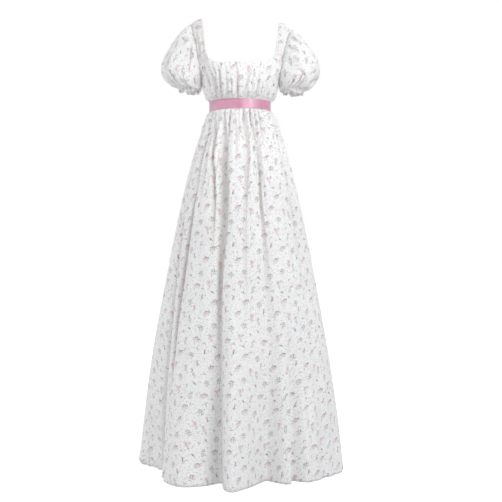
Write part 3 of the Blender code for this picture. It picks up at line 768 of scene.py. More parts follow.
def skirt_points(middle):
    """Place half of the skirt, whose middle line is at an angle, row by row from the hem."""
    turn = middle + np.linspace(-90, 90, SKIRT_COLUMNS + 1)[None, :]
    z = SKIRT_ROWS[:, None]
    share = (turn - middle) / 180 + 0.5
    calm = ease(0, 0.2, np.abs(np.cos(np.radians(turn))))
    wave = gathers(share, GATHERS, 0.5) * (1 + 0.35 * sway(share, middle / 500)) * calm
    fine = gathers(share, PUCKERS, 1.1) * (1 + 0.6 * sway(share, 0.3))
    out = read(SKIRT_FULLNESS, z, "height") * wave + read(SKIRT_PUCKERS, z, "height") * fine * calm
    out = out - fold_depth(turn, z) + slack(turn, z)
    narrow = valley_depth(turn, z, VALLEYS.values()) * ease(0.002, 0.030, RIBBON_FOOT - z)
    narrow = narrow * (1 + 0.4 * ease(-0.75, -0.50, z))
    low = ease(-1.385, HEM_Z, z)
    out = out + HEM_CRUMPLE * low * crumple(turn)
    z = z + HEM_RISE * low * (1 + waves(turn, (61, 0, 1))) * np.abs(crumple(turn))
    x, y = pushed(*body(turn, z), MM * (out - narrow - tuck_depth(turn, z)))
    # Painted shade in the valleys of the gathers under the waist seam, added to the painted shade
    # of the narrow valleys
    gather_shade = 0.30 * np.maximum(-wave, 0) + 0.14 * np.maximum(-fine - 0.1, 0) * calm
    painted_shade = layers(turn, z) + gather_shade * ease(-0.42, -0.31, z)
    return tilted(x, y, z), np.clip(painted_shade, 0, 1)


# Points and finished sheets, each by the node that the sheet replaces
grids, sheets = {}, {}
for node, middle, start in (("skirt_front", 0, (0, 0)), ("skirt_back", 180, (0.031, 0.047))):
    grids[node], painted_shade = skirt_points(middle)
    sheets[node] = cloth(f"printed_{node}", grids[node], lawns, painted_shade, start=start,
                         first=len(SKIRT_ROWS) - 1)

# %% [markdown]
# ## The bodice
# The bodice is gathered twice: into the waist seam under the ribbon, and onto a drawstring
# casing at the neckline. The casing is a turned edge 9 mm deep. Above its row of stitches the
# cloth is nearly smooth, and below it the gathers open. They are deeper on the right side of
# the gown, where more cloth has slid along the string. A bump map would do for gathers seen
# from afar, but here their valleys catch real shade, so the points themselves are moved; some
# shade is also painted into the valleys and pinches. The armhole's edge comes from the solids'
# table, and the bodice, the strap and the sleeve all end on it.

# %% Armhole
Hole = namedtuple("Hole", "turn x y z")
ARMHOLE = table(
    Hole,
    (0, 0.1610, 0.003, -0.0180), (40, 0.1530, 0.034, -0.0575), (80, 0.1430, 0.046, -0.1000),
    (120, 0.1360, 0.040, -0.1535), (150, 0.1255, 0.024, -0.1905), (180, 0.1240, 0.000, -0.2085),
    (210, 0.1255, -0.026, -0.1905), (240, 0.1310, -0.052, -0.1565), (280, 0.1410, -0.047, -0.0995),
    (320, 0.1515, -0.028, -0.0600),
)
BACK_SEAM_TURN = 120
UNDERARM_TURN = 180
FRONT_SEAM_TURN = 240
SLEEVE_COLUMNS = 216


def armhole(turn):
    """Read the edge of the left armhole at angles in degrees."""
    before = [row._replace(turn=row.turn - 360) for row in ARMHOLE[-3:]]
    after = [row._replace(turn=row.turn + 360) for row in ARMHOLE[:4]]
    rows = tuple(before) + ARMHOLE + tuple(after)
    turn = np.asarray(turn) % 360
    return np.stack([read(rows, turn, axis) for axis in "xyz"], axis=-1)


# %% Necklines and pinches of the bodice
Edge = namedtuple("Edge", "angle z")
FRONT_NECK = table(Edge, (0, -0.1525), (20, -0.1520), (33, -0.1475), (43, -0.1340))
BACK_NECK = table(Edge, (0, -0.1435), (25, -0.1430), (40, -0.1365), (49, -0.1240))
BODICE_FULLNESS = table(Gather, (RIBBON_TOP, CRUSHED), (-0.2555, 3.2), (-0.2300, 3.0),
                        (-0.1900, 1.8), (-0.1400, 1.2))
FRONT_PINCHES = [table(Valley, *pinch) for pinch in (
    ((-0.262, -85, 8, 3.2, 2.4), (-0.215, -87, 7.5, 3.0, 2.2), (-0.180, -80, 4, 2.6, 2.2),
     (-0.160, -70, 0, 2.4, 2.2)),
    ((-0.262, -68, 8.5, 2.8, 2.2), (-0.230, -72, 8.5, 2.8, 2.2), (-0.198, -73, 7, 2.6, 2.0),
     (-0.165, -62, 0, 2.2, 2.0)),
    ((-0.262, -54, 8.5, 2.5, 2.0), (-0.226, -54, 8.5, 2.5, 2.0), (-0.196, -56, 5, 2.2, 1.8),
     (-0.176, -58, 0, 2.0, 1.8)),
    ((-0.262, -43.5, 8, 2.3, 1.8), (-0.221, -41.5, 8.5, 2.3, 1.8), (-0.191, -43, 6.5, 2.2, 1.8),
     (-0.170, -45, 0, 2.0, 1.8)),
    ((-0.262, -35, 6.5, 1.8, 1.5), (-0.239, -33, 6.5, 1.8, 1.5), (-0.191, -30.5, 4.5, 1.7, 1.5),
     (-0.165, -30, 0, 1.6, 1.5)),
    ((-0.176, -78, 0, 4.2, 4.0), (-0.162, -66, 4, 4.2, 4.0), (-0.146, -52, 3.5, 4.2, 4.0),
     (-0.137, -44, 0, 4.0, 4.0)),
    ((-0.262, -26, 4, 2.0, 1.8), (-0.236, -21.5, 4, 2.0, 1.8), (-0.205, -22, 0, 2.0, 1.8)),
    ((-0.262, -15, 3.5, 2.0, 1.7), (-0.235, -14, 3.5, 2.0, 1.7), (-0.200, -12, 0, 2.0, 1.7)),
    ((-0.262, -5.3, 4, 2.0, 1.7), (-0.212, -3.8, 4.5, 2.0, 1.7), (-0.172, -4.5, 0, 2.0, 1.7)),
    ((-0.262, 5.5, 3.5, 1.8, 2.0), (-0.247, 6.7, 4.5, 1.8, 2.0), (-0.201, 12.6, 5, 1.8, 2.0),
     (-0.157, 15.6, 3, 1.6, 1.8)),
    ((-0.262, 28.4, 3.5, 1.8, 2.0), (-0.234, 28.2, 3.5, 1.8, 2.0), (-0.205, 29.5, 0, 1.8, 2.0)),
    ((-0.262, 39, 3, 1.8, 2.0), (-0.225, 43, 4, 1.8, 2.2), (-0.188, 44, 4, 1.8, 2.2),
     (-0.160, 46, 0, 1.8, 2.0)),
    ((-0.262, 55, 3.5, 2.0, 2.4), (-0.220, 57, 3.5, 2.0, 2.4), (-0.180, 58, 0, 2.0, 2.2)),
    ((-0.262, 71, 3.5, 2.4, 2.8), (-0.225, 73, 4, 2.4, 2.8), (-0.185, 72, 0, 2.2, 2.6)),
)]
BACK_PINCHES = [table(Valley, *pinch) for pinch in (
    ((-0.262, -72, 4, 2.6, 2.4), (-0.190, -71, 0, 2.4, 2.2)),
    ((-0.262, -55, 4, 2.4, 2.2), (-0.160, -53, 0, 2.2, 2.0)),
    ((-0.262, -41, 3.5, 2.2, 2.0), (-0.200, -40, 0, 2.2, 2.0)),
    ((-0.262, -29, 4, 2.2, 1.8), (-0.152, -27, 0, 2.0, 1.8)),
    ((-0.262, -14, 3.5, 2.0, 1.8), (-0.185, -13, 0, 2.0, 1.8)),
    ((-0.262, -2, 4, 2.0, 1.8), (-0.155, -1, 0, 2.0, 1.8)),
    ((-0.262, 12, 3.5, 1.8, 2.0), (-0.205, 11, 0, 1.8, 2.0)),
    ((-0.262, 24, 4, 1.8, 2.0), (-0.160, 22, 0, 1.8, 2.0)),
    ((-0.262, 37, 3.5, 2.0, 2.2), (-0.190, 36, 0, 2.0, 2.2)),
    ((-0.262, 52, 4, 2.2, 2.4), (-0.165, 50, 0, 2.2, 2.4)),
    ((-0.262, 69, 4, 2.4, 2.6), (-0.200, 68, 0, 2.4, 2.6)),
)]
print("pinches:", len(FRONT_PINCHES), "in front and", len(BACK_PINCHES), "behind")

# %% Panels of the bodice
NECK_COLUMNS = 80
SEAM_COLUMNS = 24
BODICE_ROWS = 54
CASING = 0.009
Panel = namedtuple("Panel", "front neck seam_turn gathers pinches start")
PANELS = {"bodice_front": Panel(True, FRONT_NECK, FRONT_SEAM_TURN, 16, FRONT_PINCHES,
                                (0.012, 0.020)),
          "bodice_back": Panel(False, BACK_NECK, BACK_SEAM_TURN, 12, BACK_PINCHES,
                               (0.040, 0.090))}


def bodice_edge(panel):
    """List the upper edge of half a bodice panel, from its middle line to the underarm."""
    angle = np.linspace(0, panel.neck[-1].angle, NECK_COLUMNS + 1)
    z = read(panel.neck, angle, "z")
    x, y = body(angle if panel.front else 180 - angle, z)
    neck_line = np.stack([x, y, z], axis=-1)
    corner, end = neck_line[-1], armhole(panel.seam_turn)
    share = np.linspace(0, 1, SEAM_COLUMNS + 1)[1:, None]
    seam_line = corner + (end - corner) * share
    steps = abs(panel.seam_turn - UNDERARM_TURN) * SLEEVE_COLUMNS // 360
    hole_line = armhole(np.linspace(panel.seam_turn, UNDERARM_TURN, steps + 1)[1:])
    edge = np.concatenate([neck_line, seam_line, hole_line])
    width = read(RINGS, edge[:, 2], "width")
    depth = read(RINGS, edge[:, 2], "front" if panel.front else "back")
    facing = 1 if panel.front else -1
    turn = np.degrees(np.arctan2(edge[:, 0] / width, -edge[:, 1] / depth * facing))
    turn[-1] = 90
    sewn = np.arange(len(edge)) > NECK_COLUMNS
    return turn, edge, sewn


# %% Bodice
FINE = 0.45              # height of the small gathers against the large ones
PINCH_SHADE = 0.36       # painted shade in a deep pinch
PINCH_DEPTH = 6.0        # from which a pinch counts as deep


def bodice_points(panel):
    """Place a whole bodice panel, row by row from the waist seam."""
    turn, edge, sewn = bodice_edge(panel)
    turn = np.concatenate([-turn[:0:-1], turn])
    edge = np.concatenate([edge[:0:-1] * (-1, 1, 1), edge])
    sewn = np.concatenate([sewn[:0:-1], sewn])
    share = np.concatenate([[0.0], np.linspace(0, 1, BODICE_ROWS)])[:, None]
    z = RIBBON_TOP + (edge[:, 2] - RIBBON_TOP) * share
    z[0] = WAIST_Z
    around = turn if panel.front else 180 - turn
    x, y = body(around, z)
    edge_x, edge_y = body(around, edge[:, 2])
    x = x + (edge[:, 0] - edge_x) * share ** 2
    y = y + (edge[:, 1] - edge_y) * share ** 2
    under = edge[:, 2] - z
    calm = ease(0, 0.14, np.cos(np.radians(turn)))
    along = turn / 180 + 0.5
    slid = 1 + (0.6 * ease(0.25, 0.9, -np.sin(np.radians(turn))) if panel.front else 0)
    wave = gathers(along, panel.gathers, 0.4) * (1 + 0.3 * sway(along, 0.2)) * slid
    fine = FINE * gathers(along, 2.6 * panel.gathers, 1.2) * (1 + 0.6 * sway(along, 0.7))
    cased = np.where(sewn, 1, 0.25 + 0.75 * ease(0.004, 0.016, under))
    hold = np.where(sewn, 1 - share ** 2, 1 - 0.3 * share ** 3) * cased * calm
    open_up = ease(RIBBON_TOP, RIBBON_TOP + 0.012, z)
    out = read(BODICE_FULLNESS, z, "height") * (wave * (0.55 + 0.45 * open_up) + fine * open_up)
    groove = 0.6 * hill(under - CASING, 0.0012) * ~sewn
    pinched = valley_depth(turn, z, panel.pinches) * (0.4 + 0.6 * open_up)
    pinched = pinched * ease(0.002, 0.020, under)
    drawn_in = shaded = 0
    if panel.front:
        drawn_in = 5 * ease(-0.222, RIBBON_TOP, z) * ease(60, 85, -turn)
        # Painted shade: the pinches between 40 and 79 degrees toward the right side take more of it
        shaded = 0.30 * ease(40, 52, -turn) * ease(79, 70, -turn)
    x, y = pushed(x, y, MM * (out * hold - groove - pinched - drawn_in))
    # Painted shade in the valleys of the gathers and, more deeply, in the pinches
    gather_shade = (0.12 * np.maximum(-wave, 0) + 0.40 * np.maximum(-fine, 0)) * hold
    painted_shade = np.clip(gather_shade + (PINCH_SHADE + shaded) * np.minimum(pinched / PINCH_DEPTH, 1),
                    0, 1)
    return tilted(x, y, z), share[:, 0], edge, painted_shade


neck_edges = {}
for node, panel in PANELS.items():
    grids[node], bodice_shares, neck_edges[node], painted_shade = bodice_points(panel)
    sheets[node] = cloth(f"printed_{node}", grids[node], lawns, painted_shade, start=panel.start,
                         flip=not panel.front)

# %% [markdown]
# ## The shoulder straps
# A short strip of the same lawn carries each sleeve over the shoulder, from the front of the
# bodice to its back. Its neck edge carries on the casing. It could be drawn as part of the
# bodice, but as a sheet of its own it has its own grain, and the print breaks at its seams.
# The strip is slightly crowned and has a few soft creases along it. Shade is painted along
# the creases, and more of it on the right strap than on the left.

# %% Straps
Neck = namedtuple("Neck", "share x y z")
STRAP_NECK = table(
    Neck,
    (0.00, 0.1023, -0.0790, -0.1340), (0.12, 0.1100, -0.0730, -0.1160),
    (0.25, 0.1135, -0.0600, -0.0845), (0.38, 0.1190, -0.0370, -0.0480),
    (0.50, 0.1235, -0.0020, 0.0000), (0.65, 0.1235, 0.0300, -0.0300),
    (0.82, 0.1200, 0.0540, -0.0735), (1.00, 0.1137, 0.0648, -0.1240),
)
STRAP_ENDS = 0.15        # share of the strap's length on which the crown rises from a seam
STRAP_COLUMNS = 20
STRAP_CREASE = 0.0008
# Painted shade on each strap, more on the right than on the left
STRAP_SHADE = {"right": 0.24, "left": 0.10}


def strap_points(word):
    """Place a shoulder strap, row by row from its front seam to its back seam."""
    rows = (360 + BACK_SEAM_TURN - FRONT_SEAM_TURN) * SLEEVE_COLUMNS // 360
    share = np.linspace(0, 1, rows + 1)
    outer = armhole(FRONT_SEAM_TURN + (360 + BACK_SEAM_TURN - FRONT_SEAM_TURN) * share)
    inner = np.stack([read(STRAP_NECK, share, axis) for axis in "xyz"], axis=-1)
    rise = np.stack([np.zeros(rows + 1), -np.cos(np.pi * share), np.sin(np.pi * share)], axis=-1)
    share = share[:, None, None]
    across = np.linspace(0, 1, STRAP_COLUMNS + 1)[None, :, None]
    away = np.minimum(share, 1 - share)
    crown = STRAP_CROWN * 4 * across * (1 - across) * ease(0, STRAP_ENDS, away)
    crease = STRAP_CREASE * np.sin(2 * np.pi * (2.4 * across + 0.7 * share)) * (
        ease(0, 0.12, across) * ease(0, 0.12, 1 - across))
    crease = crease * (1 + np.sin(9 * share)) * ease(0, 0.1, away)
    points = inner[:, None, :] + (outer - inner)[:, None, :] * across
    points = points + rise[:, None, :] * (crown + crease)
    # Painted shade on the strap, darker where a crease sinks in
    painted_shade = STRAP_SHADE[word] * (1 - crease[..., 0] / (1.5 * STRAP_CREASE))
    points = tilted(points[..., 0] * SIDES[word], points[..., 1], points[..., 2])
    return points, np.clip(painted_shade, 0, 1)


for word, start in (("right", (0.02, 0.05)), ("left", (0.02, 0.11))):
    node = f"strap_{word}"
    grids[node], painted_shade = strap_points(word)
    sheets[node] = cloth(f"printed_{node}", grids[node], lawns, painted_shade, start=start,
                         flip=word == "right")

# %% [markdown]
# ## The puff sleeves
# Each sleeve is one piece, gathered into the armhole at its cap and by an elastic at its
# cuff, with a small frill below the elastic. Its long seam lies under the arm. It could be
# blown up like a balloon by a simulation, but rings from a table keep it on its solid. The
# creases pull from the armhole and the elastic, so most of them are longest near one end and
# die out on the full side.

# %% Rings and creases of the sleeves
Puff = namedtuple("Puff", "share outer_x outer_z inner_x inner_z depth y")
PUFFS = table(
    Puff,
    (0.00, 0.161, -0.018, 0.1240, -0.2085, 0.050, 0.002),
    (0.12, 0.173, -0.026, 0.1255, -0.2150, 0.068, 0.002),
    (0.26, 0.197, -0.048, 0.1265, -0.2205, 0.080, 0.002),
    (0.42, 0.227, -0.087, 0.1280, -0.2245, 0.088, 0.001),
    (0.58, 0.249, -0.124, 0.1310, -0.2270, 0.092, 0.000),
    (0.73, 0.257, -0.162, 0.1325, -0.2290, 0.090, 0.000),
    (0.85, 0.2435, -0.192, 0.1335, -0.2290, 0.078, -0.002),
    (0.93, 0.2165, -0.211, 0.1350, -0.2260, 0.062, -0.003),
    (1.00, 0.2020, -0.208, 0.1370, -0.2160, 0.046, -0.004),
    (1.10, 0.2000, -0.229, 0.1390, -0.2375, 0.048, -0.004),
)
PUFF_FULLNESS = table(Gather, (0.00, 0.0), (0.12, 2.6), (0.42, 0.8), (0.73, 1.2), (0.93, 3.4),
                      (1.00, 1.6), (1.10, 4.2))
PUFF_PUCKERS = table(Gather, (0.00, 0.0), (0.05, 0.9), (0.20, 0.0), (0.80, 0.0), (0.93, 1.6),
                     (1.00, 0.8), (1.10, 0.7))
# Middle by share of the sleeve's length and by angle, depth, half length, half width, slant
Crease = namedtuple("Crease", "share turn depth long wide slant", defaults=(0,))
CREASES = {word: table(Crease, *creases) for word, creases in {
    "right": (
        (0.34, 285, 11.2, 0.26, 13), (0.66, 335, 8.4, 0.24, 12), (0.40, 60, 9.8, 0.22, 14),
        (0.62, 118, 9.8, 0.22, 12), (0.17, 281, 11.2, 0.14, 4.5, -150),
        (0.56, 319, 8.4, 0.18, 4.5, -30), (0.745, 291, 8.4, 0.026, 13),
        (0.80, 262, 7, 0.07, 5, -90), (0.74, 246, 8.4, 0.11, 5, 60), (0.92, 300, 8.4, 0.05, 9),
        (0.20, 268, 5.6, 0.12, 5), (0.22, 304, 4.2, 0.10, 5), (0.86, 262, 7, 0.12, 6),
        (0.84, 288, 7, 0.10, 5), (0.88, 312, 5.6, 0.09, 5), (0.85, 350, 4.2, 0.10, 6),
        (0.18, 30, 4.2, 0.10, 5), (0.86, 40, 5.6, 0.11, 6), (0.84, 85, 7, 0.11, 5),
        (0.20, 92, 5.6, 0.12, 6), (0.55, 210, 4.2, 0.20, 8), (0.50, 150, 4.2, 0.18, 8)),
    "left": (
        (0.70, 300, 9.8, 0.22, 10), (0.30, 262, 8.4, 0.22, 14), (0.45, 50, 9.8, 0.24, 13),
        (0.66, 105, 9.8, 0.20, 12), (0.70, 277, 11.2, 0.18, 3.4, 60),
        (0.82, 266, 7, 0.07, 3.4, 60), (0.84, 342, 11.2, 0.05, 15), (0.93, 250, 8.4, 0.05, 9),
        (0.45, 300, 5.6, 0.16, 6, -60), (0.18, 290, 5.6, 0.11, 5), (0.22, 318, 4.2, 0.10, 5),
        (0.88, 270, 5.6, 0.10, 6), (0.87, 330, 5.6, 0.11, 6), (0.84, 10, 4.2, 0.10, 6),
        (0.16, 20, 4.2, 0.10, 5), (0.86, 62, 7, 0.11, 5), (0.20, 80, 5.6, 0.12, 6),
        (0.87, 128, 5.6, 0.10, 6), (0.52, 205, 4.2, 0.18, 8), (0.55, 155, 4.2, 0.20, 8)),
}.items()}
SLEEVE_HOLD = 0.30       # share of the sleeve that still follows the armhole
SLEEVE_GATHERS = 12
SLEEVE_ROWS = 88
FRILL_END = 1.10         # the elastic is at 1
print("creases:", {word: len(creases) for word, creases in CREASES.items()})


# %% Smooth sleeve
def sleeve_rings(word, share, angle):
    """Place the smooth rings of a sleeve, bent at the cap to follow the armhole."""
    outer_x, outer_z, inner_x, inner_z, depth, y = (
        read(PUFFS, share, column) for column in Puff._fields[1:])
    if word == "left":
        outer_z = outer_z - LEFT_CUFF_DROP * ease(0.6, 1, share)
    ring = np.stack([(outer_x + inner_x) / 2 + (outer_x - inner_x) / 2 * np.cos(angle),
                     y + depth * np.sin(angle),
                     (outer_z + inner_z) / 2 + (outer_z - inner_z) / 2 * np.cos(angle)], axis=-1)
    hold = np.clip(1 - share / SLEEVE_HOLD, 0, 1)[..., None] ** 2
    return ring + (armhole(np.degrees(angle)[0]) - ring[0]) * hold


# %% Sleeves
NARROW_CREASE = 6        # a crease narrower than this, in degrees, gets painted shade
CREASE_SHADE = 0.55


def sleeve_points(word):
    """Place a puff sleeve and its frill, ring by ring from the armhole."""
    turn = np.linspace(-180, 180, SLEEVE_COLUMNS + 1)[None, :]
    angle = np.radians(turn)
    side = SIDES[word]
    frill = 1 + 0.20 * np.sin(5 * angle + side) + 0.16 * np.sin(8 * angle + 2)
    share = np.linspace(0, FRILL_END, SLEEVE_ROWS + 1)[:, None]
    share = np.where(share > 1, 1 + (share - 1) * frill, share)
    points = sleeve_rings(word, share, angle)
    away = points - points[:, :-1].mean(axis=1, keepdims=True)
    away /= np.linalg.norm(away, axis=-1, keepdims=True)
    around = turn / 360
    ridges = gathers(around, SLEEVE_GATHERS, 0.0)
    cap = ridges * ease(-0.5, 0.2, np.cos(angle))
    cuff = ridges * (1 + 0.3 * np.sin(angle * 2 + 1))
    cuff = cuff + 0.5 * gathers(around, 19, 0.0) * ease(0.8, 0.95, share) * ease(1.06, 1, share)
    wave = cap + (cuff - cap) * ease(0.36, 0.60, share)
    lobes = 0.8 * np.sin(7 * angle + side) + 0.5 * np.sin(12 * angle + 2)
    wave = wave + (lobes - wave) * ease(1.01, 1.05, share)
    fine = gathers(around, 31, 0.0) * (1 + 0.4 * np.sin(3 * angle))
    out = read(PUFF_FULLNESS, share, "height") * wave + read(PUFF_PUCKERS, share, "height") * fine
    painted_shade = 0
    for crease in CREASES[word]:
        off = between(turn, crease.turn + crease.slant * (share - crease.share))
        near = hill(share - crease.share, crease.long) * hill(off, crease.wide)
        out = out - crease.depth * near * ease(0, 0.2, share)
        # Painted shade in the narrow creases
        painted_shade = painted_shade + (CREASE_SHADE * near ** 2 if crease.wide < NARROW_CREASE else 0)
    points = points + away * MM * out[..., None] + (SLEEVE_CLEAR, 0, 0)
    return tilted(points[..., 0] * side, points[..., 1], points[..., 2]), np.clip(painted_shade, 0, 1)


for word, start in (("right", (0.03, 0.02)), ("left", (0.03, 0.07))):
    node = f"sleeve_{word}"
    grids[node], painted_shade = sleeve_points(word)
    sheets[node] = cloth(f"printed_{node}", grids[node], lawns, painted_shade, start=start, closed=True,
                         flip=word == "left")

# %% [markdown]
# ## The satin ribbon
# Satin's long floats of thread lie side by side and reflect light like a polished surface, so
# a ribbon shows a broad bright band where it turns toward the light and is deeper in colour
# to its sides. Painting that band would tie it to one view, so a glossy coat over anisotropic
# satin answers the lights instead. Handling leaves it a little uneven. The ribbon is woven
# polyester, with a sharp selvedge along both edges.

# %% Ribbon
RIBBON_COLUMNS = 320
RIBBON_ROWS = 14


def make_satin():
    """Make pink satin whose fine ribs run round the ribbon."""
    material, tree, shader = start_material("Pink satin ribbon", {
        "Roughness": 0.42, "Specular IOR Level": 0.9, "Anisotropic": 0.5, "Coat Weight": 1.0,
        "Coat IOR": 1.9, "Coat Roughness": 0.31, "Sheen Weight": 0.45, "Sheen Roughness": 0.35})
    uv = add(tree, "ShaderNodeUVMap", uv_map=CLOTH_MAP).outputs[0]
    ribs = add(tree, "ShaderNodeMapping", {"Vector": uv, "Scale": (12, 900, 1)}).outputs[0]
    floats = noise(tree, ribs, 1.0)
    tone = mix(tree, floats, linear("#C67697"), linear("#CF86A4"))
    handled = span(tree, noise(tree, uv, 34.0), 0.4, 0.7, 0.0, 0.45)
    tree.links.new(mix(tree, handled, tone, linear("#B0658A")), shader["Base Color"])
    tree.links.new(raised(tree, floats, 0.2), shader["Normal"])
    return material


def ribbon_points():
    """Place the ribbon on the gathers it holds flat, from its foot to its top."""
    turn = np.linspace(-180, 180, RIBBON_COLUMNS + 1)[None, :]
    share = np.linspace(0, 1, RIBBON_ROWS + 1)[:, None]
    z = RIBBON_FOOT + RIBBON_WIDTH * share
    pucker = 0.00025 * sway(turn / 360, 0.4) + waves(turn, (21, 90 * share, 0.0002))
    x, y = pushed(*body(turn, z), RIBBON_OUT + pucker)
    return tilted(x, y, z)


grids["ribbon"] = ribbon_points()
sheets["ribbon"] = cloth("satin_band", grids["ribbon"], (make_satin(),), closed=True)

# %% [markdown]
# ## Stitches
# A row of machine stitches is a row of short beads of thread that sink at both ends. A dashed
# line in the colours would look flat up close. Each bead is a ball of 20 faces, stretched
# along its row and pressed into the cloth. The rows follow the finished cloth, so they ride
# over its gathers.

# %% Thread
THREAD = 0.00028         # radius of the drawn thread, a little thick so that it shows


def make_thread(name, colour):
    """Make spun polyester thread: matt, with a faint twist."""
    material, tree, shader = start_material(name, {"Roughness": 0.75})
    place = add(tree, "ShaderNodeTexCoord").outputs["Object"]
    twist = noise(tree, place, 900.0, dimensions="3D")
    tree.links.new(mix(tree, twist, linear(colour), linear("#FFFFFF")), shader["Base Color"])
    return material


white_thread = make_thread("White sewing thread", "#E6E6EA")
pink_thread = make_thread("Pink sewing thread", "#D98DB2")
print("threads:", white_thread.name, "and", pink_thread.name)


# %% Stitches
STITCH = 0.0030          # from one stitch to the next
STITCH_LENGTH = 0.72     # share of that which the thread covers
STITCH_LIFT = 0.4        # share of the thread's radius that its middle lies above the cloth


def outward(points, flip):
    """Find the outward direction of a grid of points at each of them."""
    normal = np.cross(np.gradient(points, axis=1), np.gradient(points, axis=0))
    normal /= np.linalg.norm(normal, axis=-1, keepdims=True) + 1e-12
    return -normal if flip else normal


def stitch_line(points, flip, rows):
    """Read a line across a grid at a row, or a share of rows, for each column."""
    rows = np.broadcast_to(np.asarray(rows, float), points.shape[1])
    low = np.clip(rows.astype(int), 0, len(points) - 2)
    part = (rows - low)[:, None]
    column = np.arange(points.shape[1])
    line = points[low, column] * (1 - part) + points[low + 1, column] * part
    return line, outward(points, flip)[low, column]


def stitches(name, lines, material, pitch):
    """Sew rows of stitches along lines of points with their outward directions."""
    bm = bmesh.new()
    for line, out in lines:
        steps = np.linalg.norm(np.diff(line, axis=0), axis=1)
        run = np.concatenate([[0], steps.cumsum()])
        for at in np.arange(pitch / 2, run[-1], pitch):
            centre, ahead, behind, up = (
                Vector([np.interp(s, run, rows[:, axis]) for axis in range(3)])
                for s, rows in ((at, line), (at + pitch / 3, line), (at - pitch / 3, line),
                                (at, out)))
            along = (ahead - behind).normalized()
            side = up.cross(along).normalized()
            up = along.cross(side)
            turned = Matrix((along * pitch * STITCH_LENGTH / 2, side * THREAD,
                             up * THREAD)).transposed()
            bmesh.ops.create_icosphere(bm, subdivisions=1, radius=1.0,
                                       matrix=Matrix.Translation(centre + up * THREAD * STITCH_LIFT)
                                       @ turned.to_4x4())
    piece = finished(bm, name, [material])
    print(f"{name}: {len(piece.data.polygons)} triangles")
    return piece


# %% [markdown]
# ## Rows of sewing
# The skirt has its hem sewn 20 mm above the edge. The bodice and the straps have the casing
# row 9 mm from the neckline. The cuffs have two rows of shirring on the elastic, and the
# ribbon is caught down along both selvedges.

# %% Sewing
HEM_DEPTH = 0.020
STRAP_ROW = 0.2          # share of the strap's width, from its neck edge
CUFF_ROWS = (0.985, 1.015)       # shares of the sleeve's length, above and below the elastic
RIBBON_SEWING = (0.7, 13.3)      # rows of the ribbon's grid
RIBBON_STITCH = 0.004


def casing_line(node):
    """Follow the casing 9 mm under the neckline of a bodice panel."""
    edge = neck_edges[node]
    side = SEAM_COLUMNS + (len(edge) - 1 - 2 * (NECK_COLUMNS + SEAM_COLUMNS)) // 2
    share = 1 - CASING / (edge[:, 2] - RIBBON_TOP)
    rows = np.interp(share, bodice_shares[1:], np.arange(1, len(bodice_shares)))
    line, out = stitch_line(grids[node], not PANELS[node].front, rows)
    return line[side:-side], out[side:-side]


def sewing_lines(node, points):
    """List the rows of sewing of one piece."""
    part, _, word = node.partition("_")
    if part == "skirt":
        hem_row = np.interp(HEM_Z + HEM_DEPTH, SKIRT_ROWS, np.arange(len(SKIRT_ROWS)))
        return [stitch_line(points, False, hem_row)]
    if part == "bodice":
        return [casing_line(node)]
    if part == "strap":
        return [stitch_line(points.transpose(1, 0, 2), word == "left",
                            STRAP_ROW * STRAP_COLUMNS)]
    if part == "sleeve":
        return [stitch_line(points, word == "left", share / FRILL_END * SLEEVE_ROWS)
                for share in CUFF_ROWS]
    return [stitch_line(points, False, row) for row in RIBBON_SEWING]


sewn = {}
for node, points in grids.items():
    satin = node == "ribbon"
    sewn[node] = stitches(f"stitches_{node}", sewing_lines(node, points),
                          pink_thread if satin else white_thread,
                          RIBBON_STITCH if satin else STITCH)

# %% [markdown]
# ## What each piece stands for
# Every sheet replaces the solid of the same part, which is hidden, and rides on the one body of
# the gown. A table gives the size of each piece's cloth. The skirt panels are flared and the
# small pieces are shaped, so their area is less than that of the rectangle around them.

# %% The pieces and the solids they hide
Cut = namedtuple("Cut", "node width length area held rests_on")
CUTS = (
    Cut("skirt_front", 1.35, 1.20, 1.00, "gathered", ["satin_band"]),
    Cut("skirt_back", 1.22, 1.20, 0.96, "gathered", ["satin_band"]),
    Cut("bodice_front", 0.48, 0.14, 0.058, "gathered", ["satin_band"]),
    Cut("bodice_back", 0.49, 0.14, 0.052, "gathered", ["satin_band"]),
    Cut("strap_right", 0.05, 0.33, 0.012, "hung", ["printed_bodice_front", "printed_bodice_back"]),
    Cut("sleeve_right", 0.56, 0.29, 0.085, "gathered",
        ["printed_strap_right", "printed_bodice_front"]),
    Cut("strap_left", 0.05, 0.33, 0.012, "hung", ["printed_bodice_front", "printed_bodice_back"]),
    Cut("sleeve_left", 0.56, 0.29, 0.085, "gathered",
        ["printed_strap_left", "printed_bodice_front"]),
    Cut("ribbon", 0.62, RIBBON_WIDTH, None, "stretched",
        ["printed_skirt_front", "printed_bodice_front"]),
)
for cut in CUTS:
    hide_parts(cut.node)
for node in sheets:
    for piece in (sheets[node], sewn[node]):
        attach(piece, "root")
print("pieces:", len(sheets) + len(sewn))

# %% [markdown]
# ## Floor, light and camera
# A white garment needs light that is soft but not flat. The sky is a pale dome, darker below
# the horizon, which lifts the shadows in the folds. One large softbox from the front right
# draws the folds, and its light falls off toward the hem. A weaker one fills from the left,
# a tall one beside the gown lifts its left edge, a small narrow beam from below lights the
# bodice and the ribbon, and one behind lights the back. The floor is backlit paper, so it
# stays even out to the horizon, and it sends no light back up into the skirt. The standard
# view transform keeps white cloth white.

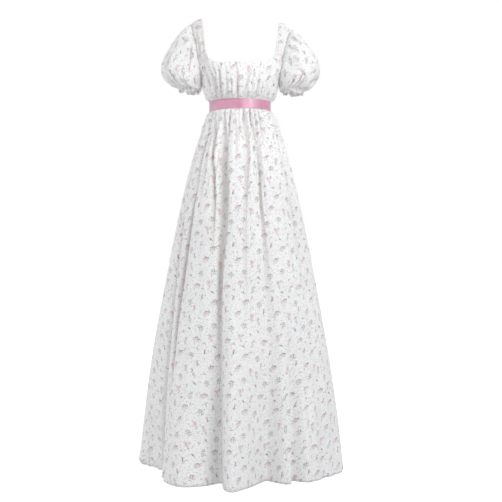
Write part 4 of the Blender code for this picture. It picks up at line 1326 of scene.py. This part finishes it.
# %% Floor
floor_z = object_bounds()[0][2] - 0.0005
bm = bmesh.new()
bmesh.ops.create_grid(bm, x_segments=4, y_segments=4, size=60.0)
bmesh.ops.translate(bm, verts=bm.verts, vec=(0, 0, floor_z))
paper, _, _ = start_material("White backdrop paper", {
    "Base Color": linear("#F5F5F5"), "Roughness": 0.9, "Emission Color": (1, 1, 1, 1),
    "Emission Strength": 0.50})
floor = finished(bm, "floor", [paper])
floor.visible_diffuse = False
print(f"floor at {floor_z:.4f} m")

# %% Light
world = bpy.data.worlds.new("Soft studio")
bpy.context.scene.world = world
world.use_nodes = True
sky = world.node_tree
upward = add(sky, "ShaderNodeTexCoord").outputs["Generated"]
upward = add(sky, "ShaderNodeSeparateXYZ", {0: upward}).outputs["Z"]
dome = mix(sky, span(sky, upward, -0.4, 0.6, 0.0, 1.0), (0.58, 0.58, 0.59, 1),
           (0.82, 0.82, 0.83, 1))
seen = add(sky, "ShaderNodeLightPath").outputs["Is Camera Ray"]
sky.links.new(mix(sky, seen, dome, (1, 1, 1, 1)), sky.nodes["Background"].inputs["Color"])
for name, place, aim, size, power, spread in (
        ("key", (1.35, -1.95, 0.60), (0, 0, -0.45), (1.2, 1.5), 24, 180),
        ("fill", (-1.55, -2.05, -0.35), (0, 0, -0.40), (1.2, 1.2), 3.2, 180),
        ("side", (-2.10, 0.15, -0.80), (0, 0, -0.70), (0.8, 1.6), 7, 180),
        ("low", (0.05, -1.90, -0.95), (0, 0, -0.23), (0.4, 0.3), 0.085, 16),
        ("back", (0.70, 2.50, 0.10), (0, 0, -0.60), (1.4, 1.6), 16, 180)):
    softbox = bpy.data.lights.new(name, "AREA")
    softbox.shape = "RECTANGLE"
    softbox.size, softbox.size_y = size
    softbox.energy = power
    softbox.spread = np.radians(spread)
    lamp = placed(name, softbox)
    lamp.location = place
    lamp.rotation_euler = (Vector(aim) - lamp.location).to_track_quat("-Z", "Y").to_euler()
    print(f"{name}: {power} W")
bpy.context.scene.view_settings.view_transform = "Standard"

# %% Camera
lens = bpy.data.cameras.new("view")
lens.lens = 75
lens.sensor_width = 36
lens.shift_x = 10.5 / 502        # as a share of the picture's width
camera = placed("view", lens)
camera.location = (0, -3.4, -0.7475)
camera.rotation_euler = (np.radians(90), 0, 0)
bpy.context.scene.camera = camera
print("camera:", lens.lens, "mm")
